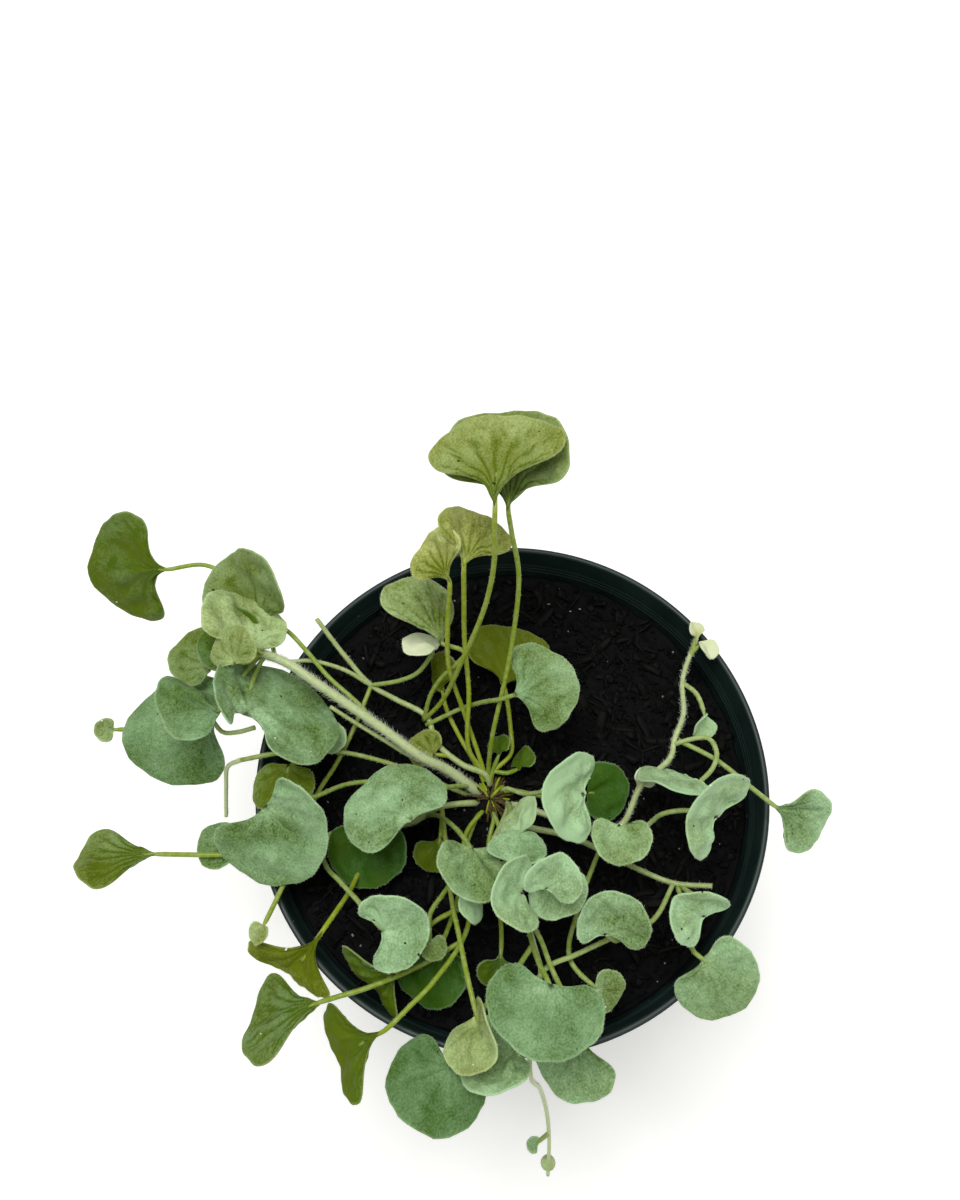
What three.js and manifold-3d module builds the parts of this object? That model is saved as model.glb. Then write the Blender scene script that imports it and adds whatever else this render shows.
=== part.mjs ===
// Potted silver ponyfoot: a black round nursery pot filled with potting mix, with a plant of
// kidney-shaped felted leaves on long stalks and creeping runners. Millimetres, +Z up.
// The origin is the centre of the pot's underside.
import * as THREE from "three";
import { mergeVertices } from "three/addons/utils/BufferGeometryUtils.js";
import Module from "manifold-3d";

const wasm = await Module();
wasm.setup();

// Driving dimensions of the pot.
const POT_HEIGHT = 116;
const RIM_RADIUS = 65;
const LIP_WIDTH = 1.5;
const FOOT_RADIUS = 46.5;
const BODY_TOP_RADIUS = 61.6;
const COLLAR_FOOT_RADIUS = 63.6;
const COLLAR_BOTTOM = 100;
const WALL_THICKNESS = 1.3;
const COLLAR_STEP = 103;
const COLLAR_INSIDE_RADIUS = 61.8;
const FLOOR_THICKNESS = 2;
const EDGE_ROUNDING = 0.7;
const POT_SIDES = 36;
const DRAIN_HOLES = 8;
const DRAIN_HOLE_RADIUS = 4;
const DRAIN_CIRCLE_RADIUS = 37;
const DRAIN_CHANNEL = { length: 27, width: 5, depth: 0.8 };

// Driving dimensions of the soil.
const SOIL_TOP = 104.7;
const SOIL_CLEARANCE = 0.3;
const SOIL_SIDES = 28;
const SOIL_RINGS = 6;
const CLUMP = { x: 54, y: -9, height: 4, spread: 4 };
const ROOT_BOTTOM = 97;
const ROOT_TOP = 107.4;
const ROOT_RADIUS = 1.2;

// Driving dimensions of the leaves and stalks.
const BLADE_THICKNESS = 0.6;
const STALK_RADIUS = 0.6;
const STALK_SIDES = 5;
const RUNNER_RADIUS = 0.85;
const THICK_RUNNER_RADIUS = 1.3;
const SMALL_LEAF = 18.5;
const FUNNEL = 0.8;

const point = (p) => new THREE.Vector3(...p);
const radians = THREE.MathUtils.degToRad;

// A closed mesh as a solid that can be joined and cut.
function solid(geometry) {
  const bare = geometry.clone();
  bare.deleteAttribute("normal");
  bare.deleteAttribute("uv");
  const merged = mergeVertices(bare, 1e-4);
  const vertProperties = new Float32Array(merged.attributes.position.array);
  const triVerts = new Uint32Array(merged.index.array);
  return new wasm.Manifold(new wasm.Mesh({ numProp: 3, vertProperties, triVerts }));
}

function geometryOf(made) {
  const mesh = made.getMesh();
  const geometry = new THREE.BufferGeometry();
  geometry.setAttribute("position", new THREE.BufferAttribute(new Float32Array(mesh.vertProperties), 3));
  geometry.setIndex(new THREE.BufferAttribute(new Uint32Array(mesh.triVerts), 1));
  geometry.computeVertexNormals();
  return geometry;
}

function indexed(points, faces) {
  const geometry = new THREE.BufferGeometry();
  geometry.setFromPoints(points);
  geometry.setIndex(faces);
  return geometry;
}

// A lathe about Z from a profile of [radius, height] that starts and ends on the axis.
function turned(profile, sides) {
  const outline = profile.map(([r, z]) => new THREE.Vector2(r, z));
  return new THREE.LatheGeometry(outline, sides).rotateX(Math.PI / 2);
}

function upright(radius, bottom, top, sides, x, y) {
  const cylinder = new THREE.CylinderGeometry(radius, radius, top - bottom, sides);
  return cylinder.rotateX(Math.PI / 2).translate(x, y, (top + bottom) / 2);
}

// Pot: tapered body, stepped collar with a rounded lip, flat floor with drain holes and channels.
function potSolid() {
  const outside = [
    [0, 0],
    [FOOT_RADIUS - EDGE_ROUNDING, 0],
    [FOOT_RADIUS, EDGE_ROUNDING],
    [BODY_TOP_RADIUS, COLLAR_BOTTOM - 0.5],
    [COLLAR_FOOT_RADIUS, COLLAR_BOTTOM],
    [RIM_RADIUS, POT_HEIGHT - EDGE_ROUNDING],
    [RIM_RADIUS - 0.4, POT_HEIGHT],
    [RIM_RADIUS - 1.1, POT_HEIGHT],
  ];
  const inside = [
    [RIM_RADIUS - LIP_WIDTH, POT_HEIGHT - EDGE_ROUNDING],
    [COLLAR_INSIDE_RADIUS, COLLAR_STEP],
    [BODY_TOP_RADIUS - WALL_THICKNESS, COLLAR_STEP - 1],
    [FOOT_RADIUS - WALL_THICKNESS, FLOOR_THICKNESS + EDGE_ROUNDING],
    [FOOT_RADIUS - WALL_THICKNESS - EDGE_ROUNDING, FLOOR_THICKNESS],
    [0, FLOOR_THICKNESS],
  ];
  let pot = solid(turned([...outside, ...inside], POT_SIDES));
  for (let i = 0; i < DRAIN_HOLES; i++) {
    const turn = (i / DRAIN_HOLES) * 2 * Math.PI;
    const x = DRAIN_CIRCLE_RADIUS * Math.cos(turn);
    const y = DRAIN_CIRCLE_RADIUS * Math.sin(turn);
    pot = pot.subtract(solid(upright(DRAIN_HOLE_RADIUS, -1, FLOOR_THICKNESS + 1, 10, x, y)));
    const { length, width, depth } = DRAIN_CHANNEL;
    const channel = new THREE.BoxGeometry(length, width, 2 * depth);
    channel.translate(FOOT_RADIUS + 1 - length / 2, 0, 0);
    channel.rotateZ(turn);
    pot = pot.subtract(solid(channel));
  }
  return pot;
}

// Height of the soil's lumpy top above the pot's foot.
function soilHeight(x, y) {
  const coarse = 0.35 * Math.sin(0.31 * x + 1.1) * Math.cos(0.27 * y);
  const fine = 0.3 * Math.sin(0.83 * x + 0.52 * y) + 0.25 * Math.cos(0.71 * y - 0.4 * x + 2);
  const away = ((x - CLUMP.x) ** 2 + (y - CLUMP.y) ** 2) / (2 * CLUMP.spread ** 2);
  return SOIL_TOP + coarse + fine + CLUMP.height * Math.exp(-away);
}

// Soil: a tapered plug just clear of the pot's wall, with a plain hole for each stem's root.
function soilSolid(roots) {
  const sides = SOIL_SIDES;
  const rings = SOIL_RINGS;
  const gap = 1.6 * SOIL_CLEARANCE;
  const edge = COLLAR_INSIDE_RADIUS - gap;
  const points = [point([0, 0, soilHeight(0, 0)])];
  const wall = [
    [BODY_TOP_RADIUS - WALL_THICKNESS - gap, COLLAR_STEP - 1.2],
    [FOOT_RADIUS - WALL_THICKNESS - gap, FLOOR_THICKNESS + EDGE_ROUNDING + SOIL_CLEARANCE],
  ];
  for (let ring = 1; ring <= rings; ring++)
    for (let i = 0; i < sides; i++) {
      const turn = ((i + 0.5 * (ring % 2)) / sides) * 2 * Math.PI;
      const radius = (edge * ring) / rings;
      const x = radius * Math.cos(turn);
      const y = radius * Math.sin(turn);
      points.push(point([x, y, soilHeight(x, y)]));
    }
  for (const [radius, z] of wall)
    for (let i = 0; i < sides; i++) {
      const turn = ((i + 0.5 * (rings % 2)) / sides) * 2 * Math.PI;
      points.push(point([radius * Math.cos(turn), radius * Math.sin(turn), z]));
    }
  points.push(point([0, 0, wall[1][1]]));
  const last = points.length - 1;
  const at = (ring, i) => 1 + (ring - 1) * sides + (i % sides);
  const faces = [];
  for (let i = 0; i < sides; i++) {
    faces.push(0, at(1, i), at(1, i + 1));
    for (let ring = 1; ring < rings + wall.length; ring++) {
      const shift = ring < rings && ring % 2 === 1 ? 1 : 0;
      if (shift || ring >= rings) {
        faces.push(at(ring, i), at(ring + 1, i), at(ring + 1, i + 1));
        faces.push(at(ring, i), at(ring + 1, i + 1), at(ring, i + 1));
      } else {
        faces.push(at(ring, i), at(ring + 1, i), at(ring, i + 1));
        faces.push(at(ring, i + 1), at(ring + 1, i), at(ring + 1, i + 1));
      }
    }
    faces.push(last, at(rings + wall.length, i + 1), at(rings + wall.length, i));
  }
  let soil = solid(indexed(points, faces));
  const holeRadius = ROOT_RADIUS + SOIL_CLEARANCE + 0.1;
  for (const [x, y] of roots) {
    const hole = upright(holeRadius, ROOT_BOTTOM - SOIL_CLEARANCE, ROOT_TOP + 6, 8, x, y);
    soil = soil.subtract(solid(hole));
  }
  return soil;
}

// The three directions of a leaf: along it, across it to the left, and out of its upper face.
// Heading turns from +X toward +Y, pitch lifts the tip and roll lifts the left side, in degrees.
function leafAxes([heading, pitch, roll]) {
  const [h, p, q] = [heading, pitch, roll].map(radians);
  const along = point([Math.cos(h) * Math.cos(p), Math.sin(h) * Math.cos(p), Math.sin(p)]);
  const level = point([-Math.sin(h), Math.cos(h), 0]);
  const over = along.clone().cross(level);
  const across = level.clone().multiplyScalar(Math.cos(q)).addScaledVector(over, Math.sin(q));
  const out = over.clone().multiplyScalar(Math.cos(q)).addScaledVector(level, -Math.sin(q));
  return { along, across, out };
}

// A kidney-shaped blade as a function of s, from -1 on the right lobe to 1 on the left one, and
// t, from 0 at the stalk to 1 at the margin. The outline's distance from the stalk is
// width * (0.43 + (length - 0.43) cos phi) in the direction phi = s * lobes, with rounded lobes.
// pinch gathers it into a neck near the stalk that reaches out to neck widths, and keeps a broad
// leaf's margin square to the midrib. fold closes it along the midrib, droop bends its sides.
function bladeSurface(at, width, angles, form) {
  const { lobes = 125, length = 0.66, fold = 0, droop = 0, skew = 0, pinch = 0.2, neck = 0.3 } = form;
  const gathered = Math.max(pinch, 1 - 88 / lobes);
  const { along, across, out } = leafAxes(angles);
  return (s, t) => {
    const far = s * radians(lobes);
    const round = Math.cbrt(Math.max(0, 1 - s ** 6));
    const margin = width * (0.43 + (length - 0.43) * Math.cos(far)) * round * (1 + skew * Math.sin(far));
    const r = t * margin;
    const phi = far * (1 - gathered * Math.exp(-((r / (neck * width)) ** 2)));
    const a = r * Math.cos(phi);
    let b = r * Math.sin(phi);
    const soft = 0.08 * width;
    let rise = (Math.hypot(b, soft) - soft) * Math.sin(radians(fold));
    b *= Math.cos(radians(fold));
    if (droop) {
      const bend = radians(droop) / (0.5 * width);
      rise -= (1 - Math.cos(bend * b)) / bend;
      b = Math.sin(bend * b) / bend;
    }
    rise += FUNNEL * (1 - Math.exp(-r / (0.14 * width)));
    return point(at).addScaledVector(along, a).addScaledVector(across, b).addScaledVector(out, rise);
  };
}

// The blade as a closed shell, with both faces triangulated alike.
function bladeSolid(at, width, angles, form) {
  const surface = bladeSurface(at, width, angles, form);
  const across = width < SMALL_LEAF ? 8 : 12;
  const rows = 2;
  const middle = [point(at)];
  const normals = [leafAxes(angles).out];
  const step = 0.02;
  for (let i = 1; i < across; i++)
    for (let j = 1; j <= rows; j++) {
      const s = Math.sin(((2 * i) / across - 1) * (Math.PI / 2));
      const t = j / rows;
      const overS = surface(s + step, t).sub(surface(s - step, t));
      const overT = surface(s, t + step).sub(surface(s, t - step));
      middle.push(surface(s, t));
      normals.push(overT.cross(overS).normalize());
    }
  const half = BLADE_THICKNESS / 2;
  const upper = middle.map((p, i) => p.clone().addScaledVector(normals[i], half));
  const lower = middle.map((p, i) => p.clone().addScaledVector(normals[i], -half));
  const count = middle.length;
  const vertex = (i, j) => 1 + (i - 1) * rows + (j - 1);
  const top = [];
  for (let i = 1; i < across - 1; i++) {
    top.push(0, vertex(i, 1), vertex(i + 1, 1));
    for (let j = 1; j < rows; j++) {
      top.push(vertex(i, j), vertex(i, j + 1), vertex(i + 1, j + 1));
      top.push(vertex(i, j), vertex(i + 1, j + 1), vertex(i + 1, j));
    }
  }
  const loop = [0];
  for (let j = 1; j <= rows; j++) loop.push(vertex(1, j));
  for (let i = 2; i < across; i++) loop.push(vertex(i, rows));
  for (let j = rows - 1; j >= 1; j--) loop.push(vertex(across - 1, j));
  const faces = [...top];
  for (let k = 0; k < top.length; k += 3)
    faces.push(count + top[k], count + top[k + 2], count + top[k + 1]);
  loop.forEach((p, k) => {
    const q = loop[(k + 1) % loop.length];
    faces.push(p, count + p, count + q);
    faces.push(p, count + q, q);
  });
  return solid(indexed([...upper, ...lower], faces));
}

// A closed tube along a curve through the given points. Its section is an ellipse: radius(u)
// gives the half widths [across, thick] at the fraction u, and across is the direction at the end.
function tubeSolid(route, radius, across, stops) {
  const curve = new THREE.CatmullRomCurve3(route.map(point), false, "centripetal");
  const rings = stops.map((u) => ({ u, at: curve.getPointAt(u), along: curve.getTangentAt(u) }));
  let side = across.clone();
  for (const ring of rings.toReversed()) {
    side = side.clone().addScaledVector(ring.along, -side.dot(ring.along)).normalize();
    ring.side = side;
    ring.up = ring.along.clone().cross(side);
  }
  const points = [];
  for (const { u, at, side: wide, up } of rings) {
    const [halfWidth, halfThickness] = radius(u);
    for (let k = 0; k < STALK_SIDES; k++) {
      const turn = (k / STALK_SIDES) * 2 * Math.PI;
      const p = at.clone().addScaledVector(wide, halfWidth * Math.cos(turn));
      points.push(p.addScaledVector(up, halfThickness * Math.sin(turn)));
    }
  }
  const faces = [];
  const last = (rings.length - 1) * STALK_SIDES;
  for (let k = 0; k < STALK_SIDES; k++) {
    const next = (k + 1) % STALK_SIDES;
    for (let ring = 0; ring < last; ring += STALK_SIDES) {
      faces.push(ring + k, ring + next, ring + STALK_SIDES + next);
      faces.push(ring + k, ring + STALK_SIDES + next, ring + STALK_SIDES + k);
    }
    if (k > 0 && k < STALK_SIDES - 1) {
      faces.push(0, k + 1, k);
      faces.push(last, last + k, last + k + 1);
    }
  }
  return solid(indexed(points, faces));
}

function lengthOf(route) {
  return new THREE.CatmullRomCurve3(route.map(point), false, "centripetal").getLength();
}

// A leaf: a blade joined to its stalk, which starts at the route's first point, widens across the
// blade in its last few millimetres and ends under it.
function leaf(at, width, angles, form, route) {
  const { along, across, out } = leafAxes(angles);
  const end = point(at).addScaledVector(along, 0.8).addScaledVector(out, -0.12);
  const whole = [...route, end.toArray()];
  const length = lengthOf(whole);
  const flare = Math.min(5, 0.4 * length);
  const straight = Math.max(1, Math.min(6, Math.round((length - flare) / 11)));
  const stops = [];
  for (let k = 0; k <= straight; k++) stops.push((k / straight) * (1 - flare / length));
  stops.push(1 - flare / (3 * length), 1);
  const widest = 0.5 + 0.035 * width;
  const radius = (u) => {
    const widen = Math.max(0, 1 - ((1 - u) * length) / flare) ** 2;
    return [STALK_RADIUS + (widest - STALK_RADIUS) * widen, STALK_RADIUS - 0.15 * widen];
  };
  return [bladeSolid(at, width, angles, form), tubeSolid(whole, radius, across, stops)];
}

// A stem or runner without a blade at its end. It thins from its first radius to its last.
function stem(thickness, tip, route) {
  const length = lengthOf(route);
  const steps = Math.max(2, Math.min(12, Math.round(length / 9)));
  const stops = Array.from({ length: steps + 1 }, (_, k) => k / steps);
  const radius = (u) => {
    const r = thickness + (tip - thickness) * u;
    return [r, r];
  };
  return [tubeSolid(route, radius, point([0, 0, 1]), stops)];
}

// A round bud or curled tip.
function bud(at, radius) {
  return [solid(new THREE.IcosahedronGeometry(radius, 1).translate(...at))];
}

const roots = [];

// One leafy stem: its root in the soil and everything that grows from it, joined.
function leafyStem([x, y], pieces) {
  roots.push([x, y]);
  const root = solid(upright(ROOT_RADIUS, ROOT_BOTTOM, ROOT_TOP, 6, x, y));
  return wasm.Manifold.union([root, ...pieces.flat()]);
}

const stemBack = leafyStem([-6.5, 2.5], [
  stem(RUNNER_RADIUS, 0.6, [
    [-6.5, 2.5, 107], [-13, 5, 109], [-20, 11, 110], [-22, 17, 111],
    [-31, 22, 112], [-37, 25, 114], [-44, 32, 118], [-51, 40, 124],
  ]),
  leaf([-5, 43, 178], 44, [87, 0, -18], { lobes: 72, length: 0.54, fold: 5, droop: 4, pinch: 0.88 }, [
    [-23, 16.4, 110.9], [-18, 19, 119], [-13, 24, 133], [-7, 32, 151], [-5, 37, 164], [-5, 41, 174],
  ]),
  leaf([-2, 47, 170], 34, [83, 15, -15], { lobes: 83, length: 0.7, fold: 16, skew: 0.06, pinch: 0.75 }, [
    [-6, 3, 107], [-5, 10, 118], [-1, 25, 133], [1, 39, 152], [-1, 45, 164],
  ]),
  leaf([-12, 40, 156], 23, [78, -5, 18], { lobes: 70, fold: 14, pinch: 0.63 }, [
    [-7, 3, 107], [-11, 8, 112], [-11, 20, 124], [-12, 30, 135], [-12, 36, 147],
  ]),
  leaf([-15, 38, 151.5], 20, [122, 5, -30], { lobes: 75, length: 0.62, fold: 20, skew: -0.2, pinch: 0.7 }, [
    [-7, 3, 107], [-12, 16, 116], [-16, 25, 129], [-16, 33, 141],
  ]),
  leaf([-18, 29.6, 132], 32, [105, 7, 39], {
    lobes: 62, length: 0.58, fold: -18, skew: 0.24, pinch: 0.36, neck: 0.37,
  }, [
    [-23, 16.4, 110.9], [-21, 21, 118], [-18, 24, 123], [-14, 26, 128], [-12, 28, 131],
  ]),
  leaf([-19, 30, 128], 13, [161, -10, 44], { lobes: 100, length: 0.73, fold: -8, droop: 6 }, [
    [-37, 25, 114], [-29, 25, 118], [-24, 26, 122],
  ]),
  leaf([-2, 25, 114], 26, [77, -6, 15], { lobes: 90, length: 0.69, pinch: 0.5 }, [
    [-5, 3, 107], [0, 8, 108], [0, 14, 109], [-1, 22, 112],
  ]),
  leaf([0, 17, 130], 25, [21, -2, 8], { lobes: 98, fold: -4, droop: 4, pinch: 0.55 }, [
    [-22.4, 15.1, 110.7], [-13, 18, 116], [-8, 18, 121], [-3, 17, 127],
  ]),
  leaf([-18, 23, 113], 15, [101, -4, -60], { lobes: 85, length: 0.73, fold: -18, skew: -0.14, pinch: 0.6 }, [
    [-8, 3, 107], [-14, 13, 110], [-17, 19, 112],
  ]),
  leaf([-3, 7, 110], 8, [81, -5, -41], { lobes: 98, length: 0.71, pinch: 0.6 }, [[-5, 3, 107]]),
  leaf([2, 3, 110], 9, [68, -5, -48], { lobes: 92, length: 0.73, fold: -12, droop: 6, pinch: 0.6 }, [
    [-6, 3.5, 107], [-1, 3, 107.5],
  ]),
  leaf([-20, 7, 110], 11, [138, -7, -16], { lobes: 104, length: 0.7, fold: 5 }, [[-15, 7, 109]]),
  stem(STALK_RADIUS, 0.5, [[-37, 25, 114], [-44, 28, 118], [-52, 29.5, 120.5], [-58, 29, 121.5]]),
  leaf([-58.5, -36.5, 122], 6.5, [-109, -10, 33], { lobes: 140, length: 0.72, fold: 8 }, [
    [-37, 25, 114], [-41, 14, 113], [-45, 5, 112], [-50, -5, 114], [-53, -16, 116.5],
    [-55, -25, 117.6], [-57, -31, 119],
  ]),
]);

const runnerLeft = leafyStem([-10.5, -0.5], [
  stem(THICK_RUNNER_RADIUS, 1.1, [
    [-10.5, -0.5, 107], [-17, 3, 112], [-23, 5, 116], [-34, 12, 121],
    [-44, 18, 125], [-49, 21, 127], [-57, 26, 129], [-64, 29, 128],
  ]),
  leaf([-65, 39, 124], 31, [126, 12, -35], { lobes: 134, length: 0.63, fold: 17, droop: -21, skew: -0.17 }, [
    [-35, 13, 121], [-39, 17, 123], [-47, 24, 124], [-53, 31, 124], [-59, 37, 124],
  ]),
  stem(STALK_RADIUS, 0.5, [[-16, 3, 110], [-24, 5, 113], [-34, 10, 117], [-40, 13, 120], [-46, 16, 124]]),
  leaf([-68, 31, 131], 23, [88, -22, 19], { lobes: 139, length: 0.63, droop: -4, skew: 0.12 }, [
    [-62, 28, 128],
  ]),
  leaf([-70, 32, 127], 23, [150, 8, -10], { lobes: 115, length: 0.68, fold: 10 }, [[-63, 29, 127]]),
  leaf([-68, 23, 136], 14, [94, 11, -26], { lobes: 119, length: 0.7, fold: -4 }, [
    [-64, 29, 128], [-66, 25, 132],
  ]),
  leaf([-77, 26, 124], 17, [153, 3, 1], { lobes: 120, length: 0.68, fold: 10, droop: -5, skew: -0.12 }, [
    [-63, 29, 127], [-70, 27, 124],
  ]),
  leaf([-64.8, 10.6, 134], 41, [106, -27, 48], {
    lobes: 161, length: 0.48, fold: 17, droop: 9, skew: -0.42, neck: 0.15,
  }, [
    [-63, 29, 127], [-65, 23, 127.5], [-65.5, 16, 130],
  ]),
  leaf([-71, 11, 134], 23, [156, 17, 48], { lobes: 111, length: 0.69, fold: -17, droop: 7, skew: 0.08 }, [
    [-64, 29, 127], [-67, 24, 128], [-71, 17, 129],
  ]),
  leaf([-75, 12, 124], 36, [185, -8, -7], { lobes: 121, length: 0.67, fold: -32, droop: 6 }, [
    [-63, 29, 126], [-67, 24, 124], [-73, 18, 123],
  ]),
  leaf([-92.4, 55.5, 121], 37, [167, -9, -51], {
    lobes: 101, length: 0.66, fold: -9, skew: 0.09, pinch: 0.79, neck: 0.32,
  }, [
    [-60, 28, 128], [-66, 42, 121], [-75, 53, 120], [-83, 57, 121],
  ]),
  stem(STALK_RADIUS, 0.6, [[-75, 12, 124], [-72, 9, 125], [-68, 9, 125.5], [-64, 10, 126]]),
  leaf([-101, 11, 120.5], 6.5, [185, 20, -20], { lobes: 100, length: 0.74, fold: 20 }, [
    [-75, 12, 124], [-90, 12, 118.5],
  ]),
  leaf([-24, -14, 132], 28, [128, -28, 6], { lobes: 122, length: 0.69, fold: -15, droop: 6, skew: 0.08 }, [
    [-10.5, -0.5, 107], [-12.5, -1, 110], [-17, -3, 116], [-21, -9, 125],
  ]),
]);

const stemLeft = leafyStem([-14, -1.6], [
  stem(STALK_RADIUS, 0.5, [
    [-14, -1.6, 107], [-32, 5, 110], [-47, 7, 115], [-60, 5, 119.5],
    [-68, 3, 121], [-71.5, 2, 119], [-73, -2, 113], [-74, -8, 106],
  ]),
  leaf([-56, 2, 120], 18, [-99, 4, 8], { lobes: 108, length: 0.71, fold: -22, droop: 4, skew: -0.1 }, [
    [-47, 7, 115], [-52, 5, 117],
  ]),
  leaf([-59, -10, 129.5], 37, [-39, -16, 39], { lobes: 137, length: 0.51, fold: 12, droop: 12, skew: -0.21 }, [
    [-20, 0.7, 108], [-41, -1, 113], [-49, -6, 120], [-54, -9, 125],
  ]),
  leaf([-49, 10, 115.6], 9, [5, 2, 10], { lobes: 90, length: 0.74, fold: 12 }, [[-44.5, 6.5, 113.6]]),
]);

const runnerLeftLow = leafyStem([-11, -4.8], [
  stem(RUNNER_RADIUS, 0.7, [
    [-11, -4.8, 107], [-19, -6, 107], [-26, -10, 107], [-43, -12, 108.5],
    [-53, -17, 112], [-60, -19, 117.8], [-68, -20, 118.6],
  ]),
  leaf([-86.5, -19.5, 118], 28, [189, 9, 27], { lobes: 47, length: 0.68, skew: -0.04, pinch: 0.58, neck: 0.4 }, [
    [-66, -19.8, 118.5], [-76, -20, 119.5],
  ]),
  leaf([-69, -17, 116.5], 13, [186, -5, 15], { lobes: 120, length: 0.69, fold: -4 }, [[-64, -19.5, 118.3]]),
  leaf([-36, -12, 113], 22, [-87, -15, 13], { lobes: 129, length: 0.68, fold: 10, droop: -4 }, [
    [-30, -10.7, 108],
  ]),
  leaf([-31, -38, 124], 23, [12, 21, 17], { lobes: 163, length: 0.55, fold: 29, droop: -3 }, [
    [-49, -15, 110.5], [-46, -22, 114], [-42, -26, 118], [-37, -31, 121],
  ]),
  leaf([-10, -20, 128.5], 20, [-86, 17, -24], { lobes: 138, length: 0.68, fold: 6 }, [
    [-22, -8, 107], [-19, -9, 112], [-14, -14, 121],
  ]),
  leaf([-18, -14, 111], 13, [-109, -14, -15], { lobes: 75, length: 0.71, fold: 7, pinch: 0.6 }, [
    [-18, -6, 107], [-18, -11, 109],
  ]),
  leaf([-9, -56, 129], 18, [-66, 33, 47], { lobes: 122, length: 0.69, fold: 21, droop: -13, skew: -0.11 }, [
    [-18, -6, 107], [-17, -14, 111], [-15, -30, 119], [-13, -39, 124], [-11, -48, 128],
  ]),
  leaf([-20, -40, 122], 7, [-59, -13, -19], { lobes: 110, length: 0.69, fold: 5 }, [
    [-15, -26, 117], [-17, -29, 118], [-20, -34, 120],
  ]),
  leaf([-44.7, -37.6, 122], 48, [230, -36, -10], {
    lobes: 89, length: 0.32, fold: 15, skew: -0.07, pinch: 0.95, neck: 0.37,
  }, [
    [-35, -11, 108], [-38, -21, 109], [-40, -28, 114.5], [-42.5, -33.5, 119.5],
  ]),
]);

const stemsFrontLeft = leafyStem([-8, -7.5], [
  leaf([-28.9, -58.7, 122], 45, [207, -37, 9], {
    lobes: 79, length: 0.39, fold: 11, pinch: 0.95, neck: 0.35,
  }, [
    [-8, -7.5, 107], [-12, -14, 110], [-11, -36, 116], [-19, -49, 121], [-24, -54, 122],
  ]),
  leaf([-18, -41, 111], 20, [-106, -18, 10], { lobes: 117, length: 0.68, fold: 11, droop: -5 }, [
    [-9, -8.5, 107], [-12, -17, 107], [-14, -30, 108],
  ]),
  leaf([-27.8, -46.9, 118.4], 40, [206, -52, -15], {
    lobes: 85, length: 0.24, fold: 10, skew: -0.15, pinch: 0.57, neck: 0.33,
  }, [
    [-11, -31, 114.5], [-20, -36, 116.5], [-24, -43, 117.8],
  ]),
  leaf([-44.9, -53, 118.5], 34, [200, -23, 31], { lobes: 57, length: 0.6, fold: 8, pinch: 0.6, neck: 0.36 }, [
    [-13, -40, 117.5], [-22, -45, 117], [-34, -50, 119], [-41, -52, 119.3],
  ]),
]);

const stemsFront = leafyStem([-4.5, -8], [
  leaf([7, -50, 138], 28, [-108, 20, 3], { lobes: 142, length: 0.59, fold: -3 }, [
    [-4.5, -8, 107], [-3, -12, 109], [3, -37, 122], [4, -42, 127], [5, -46, 133],
  ]),
  leaf([15, -58, 125], 25, [-118, -25, 14], { lobes: 79, fold: -10, droop: 9, skew: 0.08, pinch: 0.72 }, [
    [3, -34, 120], [6, -40, 122.5], [8, -46, 125], [11, -52, 124.5],
  ]),
  stem(STALK_RADIUS, 0.5, [
    [3, -35, 120], [5, -42, 118], [6, -46, 118], [4, -55, 119], [3, -65, 118.4], [3.5, -69, 114],
    [6, -71.6, 102], [7.8, -75.6, 92], [9, -80.4, 83], [9.6, -86, 75], [9.5, -93.5, 68],
  ]),
  bud([9.5, -90.5, 70], 2),
  leaf([6.5, -86, 76.5], 4.5, [160, 10, 0], { lobes: 120, length: 0.7, fold: 20 }, [[9.3, -83, 79]]),
  leaf([-14, -66, 120.5], 26, [-126, 14, 4], { lobes: 142, length: 0.61, fold: -14, droop: 17, skew: -0.08 }, [
    [4, -41, 126], [-2, -49, 121], [-7, -54, 119.5], [-10, -59, 119],
  ]),
  leaf([-3, -42, 111], 11, [-107, -20, -28], { lobes: 81, length: 0.73, fold: 11, skew: -0.17, pinch: 0.6 }, [
    [-4.5, -8.5, 107], [-6, -16, 107], [-3, -35, 109],
  ]),
]);

const tuftMiddle = leafyStem([-1, -5], [
  leaf([1, -17, 128], 14, [90, -33, -48], { lobes: 112, length: 0.71, skew: -0.13 }, [
    [-1, -5, 107], [-0.5, -11, 118],
  ]),
  leaf([-1, -24, 133], 15, [60, -32, -23], { lobes: 120, fold: 7 }, [[-1, -5, 107], [-1, -15, 120]]),
  leaf([1, -31, 136], 19, [196, 47, -13], { lobes: 142, length: 0.64, fold: 25, droop: -11 }, [
    [-1, -5, 107], [0, -19, 120], [1, -28, 130],
  ]),
  leaf([6, -31, 143], 15, [64, 33, 21], { lobes: 151, length: 0.63, fold: 21, droop: -10 }, [
    [-0.5, -5.5, 107], [2, -19, 120], [5, -28, 134],
  ]),
  leaf([9, -27, 130], 15, [-79, 20, 15], { lobes: 130, length: 0.68, fold: -8, droop: 4 }, [
    [-0.5, -5.5, 107], [4, -19, 118],
  ]),
  leaf([-10, -29, 125], 10, [-92, -4, -57], { lobes: 130, length: 0.75, fold: -8, droop: 4 }, [
    [-1, -5.5, 107], [-6, -18, 116], [-9, -26, 122],
  ]),
]);

const stemRightMiddle = leafyStem([-1.5, -1], [
  leaf([16, -8, 132], 23, [196, 41, -28], { lobes: 136, length: 0.65, fold: 14, droop: -6 }, [
    [-1.5, -1, 107], [3, -3, 110], [8, -4, 116], [13, -7, 126],
  ]),
  bud([8, -4, 117], 1.1),
  leaf([19, -3.5, 114], 15.5, [-3, -14, 8], { lobes: 123, length: 0.7, fold: 9, skew: 0.09 }, [
    [-1, -1.5, 107], [13, -4, 108],
  ]),
]);

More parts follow.
